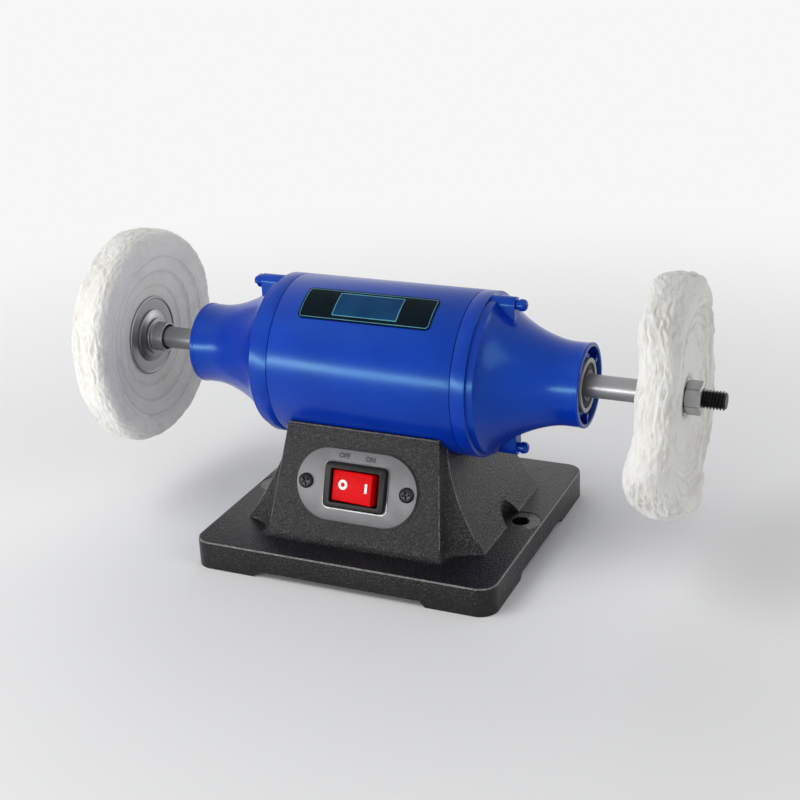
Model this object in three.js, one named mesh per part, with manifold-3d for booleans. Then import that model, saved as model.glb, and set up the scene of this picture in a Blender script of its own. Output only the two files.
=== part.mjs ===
import * as THREE from 'three';
import { mergeVertices } from 'three/addons/utils/BufferGeometryUtils.js';
import Module from 'manifold-3d';

// A two-wheel bench polishing machine, in millimetres.
// X runs along the shaft, the switch faces -Y, Z is up.
// The origin lies on the bench, under the middle of the base.

const wasm = await Module();
wasm.setup();

// Clearances and cuts
const seatGap = 0.1;
const fitGap = 0.3;
const holeGap = 0.15;
const overrun = 3;
const weldDistance = 0.001;

// Steps around the turned pieces, from the largest to the smallest
const largeSteps = 32;
const middleSteps = 20;
const smallSteps = 12;
const tinySteps = 8;

// Base plate
const plateHalfWidth = 105.7;
const plateHalfDepth = 96.7;
const plateTop = 19.4;
const plateCorner = 12;
const plateEdge = 1.2;
const rimWall = 7;
const webThickness = 6.4;
const footRise = 4;
const frontReliefHalf = 57;
const sideReliefHalf = 40;
const footPadRadius = 14;
const footPadInset = 17;
const boltInset = 14.7;
const boltHoleRadius = 6;
const boltGuardWall = 4;
const spotFaceRadius = 13.5;
const spotFaceDepth = 0.4;

// Pedestal
const slabBelowAxis = 30;
const slabTopHalf = 53.7;
const slabTopDepth = 47.6;
const slabFootHalf = 61.8;
const slabFootInset = 24.2;
const slabFillet = 4.5;
const ridgeFootInset = 20.2;
const ridgeTopWider = 0.5;
const ridgeFootSetBack = 18.3;
const ridgeTopSetBack = 13.1;
const flarePower = 1.55;
const ridgePower = 1.7;
const bendSideShare = 0.12;
const bendDepthShare = 0.1;
const bendSteps = 4;
const castWall = 5.5;
const saddleWall = 6;

// Motor shell, saddle screws and name plate
const axisHeight = 122;
const shellRadius = 54.2;
const shellWall = 1.6;
const shellHalfLength = 64;
const saddleScrewInset = 24;
const saddleScrewTilt = THREE.MathUtils.degToRad(25);
const saddleScrewRadius = 3;
const saddleHeadRadius = 5.5;
const saddleHeadHeight = 4;
const saddleSeatRadius = 7;
const saddleSeatDepth = 0.9;
const saddleNutHalf = 6.5;
const saddleNutHeight = 3.6;
const namePlateMiddle = THREE.MathUtils.degToRad(60.3);
const namePlateHalfLength = 46;
const namePlateHalfHeight = 12.75;
const namePlateAlong = -1;
const namePlateCorner = 3;
const namePlateThickness = 0.8;

// End bells
const skirtLength = 9.6;
const bandStep = 2.5;
const bandLength = 4.5;
const stepRun = 0.3;
const spigotLength = 7;
const bellWall = 3.2;
const flareLength = 48.9;
const flareFirstRunShare = 0.08;
const flareFirstFallShare = 0.4;
const flareLastRunShare = 0.37;
const flareSteps = 6;
const innerFlareShares = [0.22, 0.5, 0.78];
const noseRadius = 27;
const noseLength = 10.8;
const noseLip = 0.4;
const noseLipLength = 2;
const noseWall = 2.2;
const noseChamfer = 0.6;
const noseDepth = 16.8;
const closingWall = 3;
const hubWall = 3;
const hubSetBack = 3.8;
const hubShoulder = 2.9;
const ribHalf = 1.4;
const ribSetBack = 1;
const ribCount = 3;

// Tie bolts and their lugs
const tieBoltRadius = 2.5;
const tieBoltInset = 5.2;
const lugStep = 0.4;
const lugLength = 16;
const lugHalf = 5;
const lugDepth = 12;
const tieNeckRadius = 3.2;
const tieNeckLength = 2;
const tieHeadRadius = 3.9;
const tieHeadLength = 5;
const tieHeadEndShare = 0.6;
const tieHeadDomeShare = 0.3;
const tieNutFlats = 8;
const tieNutLength = 4;
const tieNutChamfer = 0.5;
const tieBoltPast = 2.5;

// Bearings, a common deep groove size
const bearingBore = 7.5;
const bearingOuter = 17.5;
const bearingWidth = 11;
const bearingSetBack = 0.6;
const outerRaceWall = 2.9;
const innerRaceWall = 2.7;
const sealThickness = 1;
const sealSetBack = 0.6;
const ballRadius = 1.9;
const ballSides = 6;
const ballRows = 3;
const ballCount = 7;
const cageHalfWidth = 1.2;
const cageHalfDepth = 0.7;

// Rotor and stator
const rotorRadius = 26;
const stackHalf = 25;
const airGap = 0.6;
const endRingInset = 2;
const endRingWidth = 10;
const endRingLength = 8;
const statorSlots = 16;
const toothTip = 2.2;
const backIron = 11.6;
const slotHalfAngle = THREE.MathUtils.degToRad(5.5);
const boltNotchHalf = 3.2;
const windingWithin = 4;
const windingInset = 8.3;
const windingLength = 19;
const windingRound = 5;

// Shaft
const spindleReach = 44.6;
const threadLength = 41.6;
const shaftCoreStep = 1.5;
const threadStep = 1.5;
const threadChamfer = 1.2;

// Wheel clamping pieces, from the motor outwards
const collarSleeve = 11.4;
const collarWall = 1.5;
const collarPlay = 1.25;
const collarFloor = 1.7;
const collarLip = 2.55;
const collarLipInset = 2.8;
const collarLipLength = 1.6;
const domedRadius = 18.5;
const domedRise = 0.7;
const domedThickness = 1;
const domedRimWidth = 3.2;
const flangeRadius = 28;
const flangeThickness = 1.2;
const outerWasherRadius = 12;
const outerWasherThickness = 1.4;
const nutFlats = 19;
const nutHeight = 10;
const nutChamfer = 1;

// Cloth wheels
const wheelRadius = 76;
const wheelHubThickness = 12.4;
const wheelSteps = 36;
const rimSteps = 6;
const rimHeight = 14;
const rimHalf = 13.6;
const rimSwell = 1.6;
const rimSway = 7;
const wheelFaceWidth = 10;
const wheelFaceSwell = 1.2;

// How far the rims sway from the motor and swell at even steps around: from the back over the top
// on the right wheel, and from the front over the top on the left one
const rightSwayShares = [-0.6, -0.5, -0.1, -0.5, -0.2, 0.9, 0.9, -0.4, 0.1, 1, 0, 0];
const rightSwellShares = [-1, -0.9, -0.3, 0.6, 0, -1, -1, 1, 0.9, 0.8, -0.4, -0.3];
const leftSwayShares = [-0.3, 0, 0, 0, -0.4, -0.4, -0.1, -0.1, -0.2, -0.1, -0.2, -0.5];
const leftSwellShares = [-0.2, 0, 0, 0.1, 0.2, 0.2, 0, 0, 0.1, 0.1, 0, -0.3];

// Switch, laid out on the front slab
const switchRaise = 1.4;
const plateHalfLength = 42.75;
const plateHalfHeight = 23.8;
const switchPlateThickness = 1.2;
const plateScrewSpacingHalf = 35.8;
const plateScrewRadius = 2;
const plateScrewLength = 9;
const plateScrewHead = 5;
const plateScrewHeadHeight = 2.2;
const panEdgeShare = 0.4;
const panShoulderShare = 0.8;
const bezelHalfLength = 21.8;
const bezelHalfHeight = 14.8;
const bezelHeight = 3.2;
const bezelCorner = 3;
const bezelSlope = 1;
const wellHalfLength = 17;
const wellHalfHeight = 10.8;
const wellFloor = 12;
const housingWall = 1.6;
const terminalHalfLength = 3.15;
const terminalHalfThickness = 0.4;
const terminalLength = 8;
const terminalAlong = 9;
const terminalAcross = 5;
const rockerHalfLength = 15.3;
const rockerHalfHeight = 10.15;
const rockerMiddleHeight = 4.4;
const rockerEndHeight = 5.4;
const rockerSkirt = 4;
const rockerKeelHalf = 9;
const rockerKeel = 7;
const rockerFaceSteps = 6;
const pivotDepth = 3;
const pivotPinRadius = 1.5;
const pivotPinReach = 0.9;
const rockerTilt = THREE.MathUtils.degToRad(10);

// Bottom cover and the electrical pieces on it
const coverThickness = 1.5;
const coverSideInset = 21.7;
const coverFrontInset = 20.7;
const coverCorner = 6;
const coverScrewSideInset = 13;
const coverScrewFrontInset = 7;
const coverScrewRadius = 2;
const coverScrewBite = 4.5;
const coverScrewHead = 3.8;
const coverScrewHeadHeight = 2;
const capacitorRadius = 14;
const capacitorHalf = 26;
const capacitorEdge = 1.5;
const capacitorAlong = 18;
const capacitorAcross = 30;
const clipHalfWidth = 7;
const clipThickness = 1.2;
const clipFoot = 8;
const blockHalfLength = 18;
const blockHalfDepth = 8;
const blockHeight = 14;
const blockAlong = -30;
const blockAcross = 26;
const blockWells = 3;
const blockWellRadius = 2.2;
const blockWellDepth = 9;

// Cable inlet at the back
const inletAlong = -38;
const inletHeight = 38;
const inletBossRadius = 14.5;
const inletBossOut = 10.9;
const inletSeatIn = 1.1;
const inletSeatRadius = 11.5;
const glandRadius = 7;
const glandBore = 4;
const glandHeadRadius = 9.5;
const glandHeadLength = 8;
const glandHeadChamfer = 1.5;
const glandTail = 6;
const glandNutFlats = 17;
const glandNutThickness = 4;
const glandNutChamfer = 0.7;

// Places and radii that follow from the sizes above
const slabTop = axisHeight - slabBelowAxis;
const slabFootDepth = plateHalfDepth - slabFootInset;
const ridgeFootHalf = plateHalfWidth - ridgeFootInset;
const ridgeTopHalf = slabTopHalf + ridgeTopWider;
const ridgeFootDepth = slabFootDepth - ridgeFootSetBack;
const ridgeTopDepth = slabTopDepth - ridgeTopSetBack;
const boltSpacingHalf = plateHalfWidth - boltInset;
const webBottom = plateTop - webThickness;
const bossRadius = spotFaceRadius + boltGuardWall;
const padAlong = plateHalfWidth - footPadInset;
const padAcross = plateHalfDepth - footPadInset;
const cradleRadius = shellRadius + fitGap;
const saddleRadius = cradleRadius + saddleWall;
const saddleSeatAt = saddleRadius - saddleSeatDepth;
const shellInside = shellRadius - shellWall;
const saddleScrewAlong = shellHalfLength - saddleScrewInset;
const spigotRadius = shellInside - holeGap;
const skirtEnd = shellHalfLength + skirtLength;
const bandRadius = shellRadius - bandStep;
const bandEnd = skirtEnd + bandLength;
const flareEnd = bandEnd + flareLength;
const noseEnd = flareEnd + noseLength;
const noseLipRadius = noseRadius + noseLip;
const noseBore = noseRadius - noseWall;
const closingWallEnd = noseEnd - noseDepth;
const hubEnd = noseEnd - hubSetBack;
const tieBoltOut = shellRadius - tieBoltInset;
const lugStart = skirtEnd + lugStep;
const lugEnd = lugStart + lugLength;
const coverHalfWidth = plateHalfWidth - coverSideInset;
const coverHalfDepth = plateHalfDepth - coverFrontInset;
const coverScrewAlong = coverHalfWidth - coverScrewSideInset;
const coverScrewAcross = coverHalfDepth - coverScrewFrontInset;
const coverTop = webBottom - seatGap;
const coverBottom = coverTop - coverThickness;
const bearingFaceAt = noseEnd - bearingSetBack;
const bearingInnerFace = bearingFaceAt - bearingWidth;
const bearingSeatRadius = bearingOuter + seatGap;
const outerRaceInside = bearingOuter - outerRaceWall;
const innerRaceOutside = bearingBore + innerRaceWall;
const hubOuter = bearingSeatRadius + hubWall;
const hubShoulderRadius = bearingOuter - hubShoulder;
const shaftRadius = bearingBore;
const shaftCoreRadius = shaftRadius + shaftCoreStep;
const threadRadius = shaftRadius - threadStep;
const threadBore = threadRadius + holeGap;
const endRingOuter = rotorRadius - endRingInset;
const endRingInner = endRingOuter - endRingWidth;
const slotInner = rotorRadius + airGap + toothTip;
const slotOuter = shellInside - backIron;
const windingInner = rotorRadius + windingWithin;
const windingOuter = shellInside - windingInset;
const shoulderAt = noseEnd + spindleReach;
const shaftEnd = shoulderAt + threadLength;
const collarInner = shaftRadius + collarPlay;
const collarOuter = collarInner + collarWall;
const collarStart = shoulderAt - collarSleeve;
const collarLipRadius = collarOuter + collarLip;
const collarLipStart = shoulderAt - collarLipInset;
const collarEnd = shoulderAt + seatGap + collarFloor;
const flangeStart = collarEnd + seatGap;
const wheelStart = flangeStart + flangeThickness + seatGap;
const wheelMiddle = wheelStart + wheelHubThickness / 2;
const outerWasherStart = wheelStart + wheelHubThickness + seatGap;
const nutStart = outerWasherStart + outerWasherThickness + seatGap;
const slabLean = Math.atan2(slabFootDepth - slabTopDepth, slabTop - plateTop);
const switchDown = (slabTop - plateTop) / Math.cos(slabLean) / 2 - switchRaise;
const inletShare = (inletHeight - plateTop) / (slabTop - plateTop);
const inletSlabDepth = THREE.MathUtils.lerp(slabFootDepth, slabTopDepth, inletShare);
const inletSeatAt = inletSlabDepth - inletSeatIn;
const inletBossEnd = inletSlabDepth + inletBossOut;
const housingHalfLength = wellHalfLength + housingWall;
const housingHalfHeight = wellHalfHeight + housingWall;
const housingBack = -wellFloor - housingWall;
const switchPlateTop = fitGap + switchPlateThickness;
const bezelBottom = switchPlateTop + fitGap;
const bezelTop = bezelBottom + bezelHeight;

// Materials
function material(color, roughness, metalness) {
  return new THREE.MeshStandardMaterial({ color, roughness, metalness, flatShading: true });
}

const blackCast = material(0x343436, 0.75, 0.2);
const bluePaint = material(0x0039aa, 0.3, 0.1);
const blackLabel = material(0x031520, 0.35, 0.1);
const greySheet = material(0x88878a, 0.5, 0.6);
const blackPlastic = material(0x282827, 0.4, 0);
const redPlastic = material(0xde1a20, 0.3, 0);
const brightSteel = material(0xb8b9ba, 0.25, 1);
const dullSteel = material(0x8f9092, 0.45, 0.9);
const darkSteel = material(0x2a2a2b, 0.5, 0.8);
const blackRubber = material(0x141414, 0.7, 0);
const copperWire = material(0xa85c2c, 0.4, 0.8);
const castAluminium = material(0xa9abad, 0.5, 0.7);
const whiteCloth = material(0xe6e5e1, 0.95, 0);
const brassBlade = material(0xc2a15a, 0.35, 0.9);
const whiteCase = material(0xd5d5d0, 0.5, 0);

// Exact turns that only swap the axes: forward brings Y to X, Z to Y and X to Z, and back undoes it
const turnForward = new THREE.Matrix4().set(0, 1, 0, 0, 0, 0, 1, 0, 1, 0, 0, 0, 0, 0, 0, 1);
const turnBack = new THREE.Matrix4().set(0, 0, 1, 0, 1, 0, 0, 0, 0, 1, 0, 0, 0, 0, 0, 1);

// Lays a shape that was made along Y along another axis
function laid(geometry, axis) {
  if (axis === 'x') return geometry.applyMatrix4(turnForward);
  if (axis === 'z') return geometry.applyMatrix4(turnBack);
  return geometry;
}

// One closed surface: corners that meet are shared, and flat triangles are dropped
function welded(geometry) {
  const bare = geometry.clone();
  bare.deleteAttribute('normal');
  bare.deleteAttribute('uv');
  const merged = mergeVertices(bare, weldDistance);
  const corners = merged.index.array;
  const kept = [];
  for (let i = 0; i < corners.length; i += 3) {
    const [a, b, c] = corners.slice(i, i + 3);
    if (a !== b && b !== c && c !== a) kept.push(a, b, c);
  }
  merged.setIndex(kept);
  return merged;
}

function solid(geometry) {
  const clean = welded(geometry);
  const vertProperties = new Float32Array(clean.attributes.position.array);
  const triVerts = new Uint32Array(clean.index.array);
  return new wasm.Manifold(new wasm.Mesh({ numProp: 3, vertProperties, triVerts }));
}

function geometryOf(body) {
  const mesh = body.getMesh();
  const geometry = new THREE.BufferGeometry();
  geometry.setAttribute('position', new THREE.Float32BufferAttribute(mesh.vertProperties, 3));
  geometry.setIndex(Array.from(mesh.triVerts));
  return geometry;
}

function piece(name, shape, look) {
  const geometry = shape.isBufferGeometry ? welded(shape) : geometryOf(shape);
  const mesh = new THREE.Mesh(geometry, look);
  mesh.name = name;
  return mesh;
}

// A ring or bar turned about an axis, from corners given as [along, radius]
function turned(corners, steps, axis = 'x') {
  const loop = corners.map(([along, radius]) => new THREE.Vector2(radius, along));
  if (THREE.ShapeUtils.area(loop) < 0) loop.reverse();
  if (corners.every(([, radius]) => radius > 0)) loop.push(loop[0].clone());
  return laid(new THREE.LatheGeometry(loop, steps), axis);
}

function ring(start, end, inside, outside, steps) {
  return turned([[start, inside], [start, outside], [end, outside], [end, inside]], steps);
}

// A round bar from start to end along X, Y or Z, with its middle at [x, y, z] on the other two axes
function bar(axis, start, end, radius, steps, [x, y, z] = [0, 0, 0]) {
  const geometry = laid(new THREE.CylinderGeometry(radius, radius, end - start, steps), axis);
  const middle = (start + end) / 2;
  if (axis === 'x') return geometry.translate(middle, y, z);
  if (axis === 'y') return geometry.translate(x, middle, z);
  return geometry.translate(x, y, middle);
}

function box(low, high) {
  const size = high.map((value, i) => value - low[i]);
  const centre = high.map((value, i) => (value + low[i]) / 2);
  return new THREE.BoxGeometry(...size).translate(...centre);
}

function circleOutline(radius, steps, x = 0, y = 0) {
  const points = [];
  for (let step = 0; step < steps; step += 1) {
    const angle = step / steps * 2 * Math.PI;
    points.push(new THREE.Vector2(x + radius * Math.cos(angle), y + radius * Math.sin(angle)));
  }
  return points;
}

function roundedOutline(halfWidth, halfDepth, radius, steps) {
  const points = [];
  const corners = [[1, 1], [-1, 1], [-1, -1], [1, -1]];
  corners.forEach(([sideX, sideY], quarter) => {
    for (let step = 0; step <= steps; step += 1) {
      const angle = (quarter + step / steps) * Math.PI / 2;
      const x = sideX * (halfWidth - radius) + radius * Math.cos(angle);
      const y = sideY * (halfDepth - radius) + radius * Math.sin(angle);
      points.push(new THREE.Vector2(x, y));
    }
  });
  return points;
}

function extruded(outline, start, end, holes = []) {
  const shape = new THREE.Shape(outline);
  for (const hole of holes) shape.holes.push(new THREE.Path(hole));
  const geometry = new THREE.ExtrudeGeometry(shape, { depth: end - start, bevelEnabled: false });
  return geometry.translate(0, 0, start);
}

// A closed body through outlines with equal counts of points, each given as { outline, height }
function loft(levels) {
  const count = levels[0].outline.length;
  const positions = [];
  const index = [];
  for (const { outline, height } of levels) {
    for (const point of outline) positions.push(point.x, point.y, height);
  }
  for (let level = 0; level + 1 < levels.length; level += 1) {
    for (let i = 0; i < count; i += 1) {
      const a = level * count + i;
      const b = level * count + (i + 1) % count;
      index.push(a, b, b + count, a, b + count, a + count);
    }
  }
  const last = (levels.length - 1) * count;
  const bottom = THREE.ShapeUtils.triangulateShape(levels[0].outline.slice(), []);
  const top = THREE.ShapeUtils.triangulateShape(levels[levels.length - 1].outline.slice(), []);
  for (const [a, b, c] of bottom) index.push(c, b, a);
  for (const [a, b, c] of top) index.push(last + a, last + b, last + c);
  const geometry = new THREE.BufferGeometry();
  geometry.setAttribute('position', new THREE.Float32BufferAttribute(positions, 3));
  geometry.setIndex(index);
  return geometry;
}

// A hexagon nut along X with chamfered outer corners
function hexagonNut(start, end, flats, bore, chamfer, steps) {
  const corner = flats / Math.sqrt(3);
  const prism = solid(bar('x', start, end, corner, 6));
  const envelope = turned([
    [start, 0], [start, corner - chamfer], [start + chamfer, corner + chamfer],
    [end - chamfer, corner + chamfer], [end, corner - chamfer], [end, 0],
  ], steps);
  const hole = solid(bar('x', start - overrun, end + overrun, bore, steps));
  return prism.intersect(solid(envelope)).subtract(hole);
}

// A pan-head screw along Z: its head rests at seat, and its shank ends at tip
function panScrew(seat, tip, shank, headRadius, headHeight, steps) {
  const up = Math.sign(seat - tip);
  return turned([
    [tip, 0], [tip, shank], [seat, shank], [seat, headRadius],
    [seat + up * headHeight * panEdgeShare, headRadius],
    [seat + up * headHeight, headRadius * panShoulderShare],
    [seat + up * headHeight, 0],
  ], steps, 'z');
}

// The middle of the switch on the front slab, with Z pointing out of the slab and Y up its slope
const slabFrame = new THREE.Group();
slabFrame.position.set(
  0,
  -slabTopDepth - switchDown * Math.sin(slabLean),
  slabTop - switchDown * Math.cos(slabLean),
);
slabFrame.rotation.x = Math.PI / 2 - slabLean;
slabFrame.updateMatrix();

// A saddle screw's place on the motor's axis, with Z pointing down along the screw
function saddleFrame(side, height) {
  const frame = new THREE.Group();
  frame.position.set(side * saddleScrewAlong, 0, height);
  frame.rotation.x = Math.PI + side * saddleScrewTilt;
  frame.updateMatrix();
  return frame;
}

// Base casting

function basePlate() {
  const levels = [{ inset: 0, height: 0 }];
  const edgeSteps = 2;
  for (let step = 0; step <= edgeSteps; step += 1) {
    const angle = step / edgeSteps * Math.PI / 2;
    const inset = plateEdge * (1 - Math.cos(angle));
    levels.push({ inset, height: plateTop - plateEdge + plateEdge * Math.sin(angle) });
  }
  return loft(levels.map(({ inset, height }) => ({
    outline: roundedOutline(plateHalfWidth - inset, plateHalfDepth - inset, plateCorner - inset, 4),
    height,
  })));
}

// The pedestal in plan: slabs front and back, flared side walls, and a hollow bend between them
function pedestalOutline(height, inset) {
  const rise = THREE.MathUtils.clamp((height - plateTop) / (slabTop - plateTop), 0, 1);
  const left = THREE.MathUtils.clamp(slabFillet - (height - plateTop), 0, slabFillet);
  const fillet = slabFillet - Math.sqrt(slabFillet ** 2 - left ** 2);
  const slabX = THREE.MathUtils.lerp(slabFootHalf, slabTopHalf, rise) + fillet - inset;
  const slabY = THREE.MathUtils.lerp(slabFootDepth, slabTopDepth, rise) + fillet - inset;
  const flare = (ridgeFootHalf - ridgeTopHalf) * (1 - rise) ** flarePower;
  const ridgeX = ridgeTopHalf + flare - inset;
  const ridgeY = ridgeFootDepth - (ridgeFootDepth - ridgeTopDepth) * rise ** ridgePower - inset;
  const bendX = slabX + bendSideShare * (ridgeX - slabX);
  const bendY = ridgeY + bendDepthShare * (slabY - ridgeY);
  const quarter = new THREE.QuadraticBezierCurve(
    new THREE.Vector2(ridgeX, ridgeY),
    new THREE.Vector2(bendX, bendY),
    new THREE.Vector2(slabX, slabY),
  ).getPoints(bendSteps);
  const flipped = (sideX, sideY) => quarter.map(({ x, y }) => new THREE.Vector2(sideX * x, sideY * y));
  return [
    ...quarter,
    ...flipped(-1, 1).reverse(),
    ...flipped(-1, -1),
    ...flipped(1, -1).reverse(),
  ];
}

function pedestal(inset, start) {
  const heights = [start];
  const filletSteps = 2;
  for (let step = 0; step <= filletSteps; step += 1) {
    heights.push(plateTop + slabFillet * (step / filletSteps) ** 2);
  }
  const wallSteps = 6;
  const wallStart = plateTop + slabFillet;
  for (let step = 1; step <= wallSteps; step += 1) {
    heights.push(wallStart + (slabTop - wallStart) * step / wallSteps);
  }
  return loft(heights.map((height) => ({ outline: pedestalOutline(height, inset), height })));
}

// The space under the plate, which leaves the rim, the bosses of the bench bolts and the foot pads
function undersideHollow() {
  const outline = roundedOutline(
    plateHalfWidth - rimWall, plateHalfDepth - rimWall, plateCorner - rimWall / 2, 3);
  let hollow = solid(extruded(outline, -overrun, webBottom));
  for (const side of [-1, 1]) {
    const x = side * boltSpacingHalf;
    hollow = hollow.subtract(solid(
      bar('z', -overrun - overrun, plateTop, bossRadius, smallSteps, [x, 0, 0])));
    for (const depthSide of [-1, 1]) {
      const pad = [side * padAlong, depthSide * padAcross, 0];
      hollow = hollow.subtract(solid(
        bar('z', -overrun - overrun, plateTop, footPadRadius, smallSteps, pad)));
    }
  }
  return hollow;
}

// The hollow of the pedestal, which leaves the saddle and the walls around the bench bolts
function pedestalCavity() {
  const saddle = bar('x', -plateHalfWidth, plateHalfWidth, saddleRadius, largeSteps, [0, 0, axisHeight]);
  let cavity = solid(pedestal(castWall, webBottom - overrun)).subtract(solid(saddle));
  for (const side of [-1, 1]) {
    const place = [side * boltSpacingHalf, 0, 0];
    cavity = cavity.subtract(solid(bar('z', 0, slabTop, bossRadius, smallSteps, place)));
  }
  return cavity;
}

// The gap between two feet, with sloped ends, as an outline that reaches below the bench
function reliefOutline(halfLength) {
  return [
    new THREE.Vector2(-halfLength - footRise - overrun, -overrun),
    new THREE.Vector2(halfLength + footRise + overrun, -overrun),
    new THREE.Vector2(halfLength, footRise),
    new THREE.Vector2(-halfLength, footRise),
  ];
}

function sideHoles(side) {
  const boltPlace = [side * boltSpacingHalf, 0, 0];
  const saddle = saddleFrame(side, axisHeight).matrix;
  const holes = [
    bar('z', plateTop - spotFaceDepth, slabTop, spotFaceRadius, middleSteps, boltPlace),
    bar('z', -overrun, plateTop + overrun, boltHoleRadius, middleSteps, boltPlace),
    bar('z', shellInside, saddleRadius + overrun, saddleScrewRadius + fitGap, smallSteps)
      .applyMatrix4(saddle),
    bar('z', saddleSeatAt, saddleRadius + saddleHeadHeight + overrun, saddleSeatRadius, smallSteps)
      .applyMatrix4(saddle),
    bar('z', -castWall - overrun, overrun, plateScrewRadius + fitGap, tinySteps,
      [side * plateScrewSpacingHalf, 0, 0]).applyMatrix4(slabFrame.matrix),
  ];
  for (const depthSide of [-1, 1]) {
    holes.push(bar('z', coverBottom, webBottom + coverScrewBite, coverScrewRadius + fitGap, tinySteps,
      [side * coverScrewAlong, depthSide * coverScrewAcross, 0]));
  }
  return holes;
}

function baseCasting() {
  const inlet = [inletAlong, 0, inletHeight];
  const inletBossStart = inletSeatAt - castWall - overrun;
  const inletBoss = bar('y', inletBossStart, inletBossEnd, inletBossRadius, middleSteps, inlet);
  let body = solid(basePlate()).add(solid(pedestal(0, webBottom)));
  body = body.subtract(undersideHollow()).subtract(pedestalCavity()).add(solid(inletBoss));
  const window = box(
    [-housingHalfLength - fitGap, -housingHalfHeight - fitGap, -castWall - overrun],
    [housingHalfLength + fitGap, housingHalfHeight + fitGap, overrun],
  ).applyMatrix4(slabFrame.matrix);
  const cuts = [
    bar('x', -plateHalfWidth, plateHalfWidth, cradleRadius, largeSteps, [0, 0, axisHeight]),
    bar('y', inletSeatAt - overrun, inletBossEnd + overrun, glandRadius + fitGap, middleSteps, inlet),
    bar('y', 0, inletSeatAt, inletSeatRadius, middleSteps, inlet),
    window,
    extruded(reliefOutline(frontReliefHalf), -plateHalfDepth - overrun, plateHalfDepth + overrun)
      .rotateX(Math.PI / 2),
    extruded(reliefOutline(sideReliefHalf), -plateHalfWidth - overrun, plateHalfWidth + overrun)
      .applyMatrix4(turnBack),
    ...sideHoles(-1),
    ...sideHoles(1),
  ];
  for (const cut of cuts) body = body.subtract(solid(cut));
  return piece('base_casting', body, blackCast);
}

function bottomCover() {
  const holes = [];
  for (const x of [-coverScrewAlong, coverScrewAlong]) {
    for (const y of [-coverScrewAcross, coverScrewAcross]) {
      holes.push(circleOutline(coverScrewRadius + fitGap, tinySteps, x, y));
    }
  }
  const outline = roundedOutline(coverHalfWidth, coverHalfDepth, coverCorner, 3);
  let body = solid(extruded(outline, coverBottom, coverTop, holes));
  for (const side of [-1, 1]) {
    body = body.subtract(solid(bar('z', 0, plateTop, bossRadius + fitGap, smallSteps,
      [side * boltSpacingHalf, 0, 0])));
    for (const depthSide of [-1, 1]) {
      body = body.subtract(solid(bar('z', 0, plateTop, footPadRadius + fitGap, smallSteps,
        [side * padAlong, depthSide * padAcross, 0])));
    }
  }
  return piece('bottom_cover', body, dullSteel);
}

function coverScrews() {
  const group = new THREE.Group();
  const sides = { left: -1, right: 1 };
  const depths = { front: -1, back: 1 };
  for (const [sideName, side] of Object.entries(sides)) {
    for (const [depthName, depth] of Object.entries(depths)) {
      const geometry = panScrew(coverBottom - seatGap, webBottom + coverScrewBite - fitGap,
        coverScrewRadius, coverScrewHead, coverScrewHeadHeight, tinySteps);
      const mesh = piece(`cover_screw_${depthName}_${sideName}`, geometry, darkSteel);
      mesh.position.set(side * coverScrewAlong, depth * coverScrewAcross, 0);
      group.add(mesh);
    }
  }
  return group;
}

// Electrical pieces inside the base

function capacitor() {
  const start = -capacitorHalf;
  const end = capacitorHalf;
  const geometry = turned([
    [start, 0], [start, capacitorRadius - capacitorEdge], [start + capacitorEdge, capacitorRadius],
    [end - capacitorEdge, capacitorRadius], [end, capacitorRadius - capacitorEdge], [end, 0],
  ], middleSteps);
  const mesh = piece('start_capacitor', geometry, whiteCase);
  mesh.position.set(capacitorAlong, capacitorAcross, coverTop + fitGap + capacitorRadius);
  return mesh;
}

// A strap over the capacitor, with a foot on the cover at each side
function capacitorClip() {
  const inside = capacitorRadius + fitGap;
  const outside = inside + clipThickness;
  const middle = fitGap + capacitorRadius;
  const arcSteps = 12;
  const arc = (radius) => {
    const points = [];
    for (let step = 0; step <= arcSteps; step += 1) {
      const angle = step / arcSteps * Math.PI;
      points.push(new THREE.Vector2(radius * Math.cos(angle), middle + radius * Math.sin(angle)));
    }
    return points;
  };
  const outline = [
    new THREE.Vector2(inside, 0),
    new THREE.Vector2(outside + clipFoot, 0),
    new THREE.Vector2(outside + clipFoot, clipThickness),
    new THREE.Vector2(outside, clipThickness),
    ...arc(outside),
    new THREE.Vector2(-outside, clipThickness),
    new THREE.Vector2(-outside - clipFoot, clipThickness),
    new THREE.Vector2(-outside - clipFoot, 0),
    new THREE.Vector2(-inside, 0),
    ...arc(inside).reverse(),
  ];
  const geometry = extruded(outline, -clipHalfWidth, clipHalfWidth).applyMatrix4(turnBack);
  const mesh = piece('capacitor_clip', geometry, dullSteel);
  mesh.position.set(capacitorAlong, capacitorAcross, coverTop + seatGap);
  return mesh;
}

function terminalBlock() {
  const low = coverTop + seatGap;
  let body = solid(box([-blockHalfLength, -blockHalfDepth, low],
    [blockHalfLength, blockHalfDepth, low + blockHeight]));
  const pitch = 2 * blockHalfLength / blockWells;
  for (let i = 0; i < blockWells; i += 1) {
    const x = (i - (blockWells - 1) / 2) * pitch;
    body = body.subtract(solid(bar('z', low + blockHeight - blockWellDepth, low + blockHeight + overrun,
      blockWellRadius, tinySteps, [x, 0, 0])));
  }
  const mesh = piece('terminal_block', body, whiteCase);
  mesh.position.set(blockAlong, blockAcross, 0);
  return mesh;
}

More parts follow.
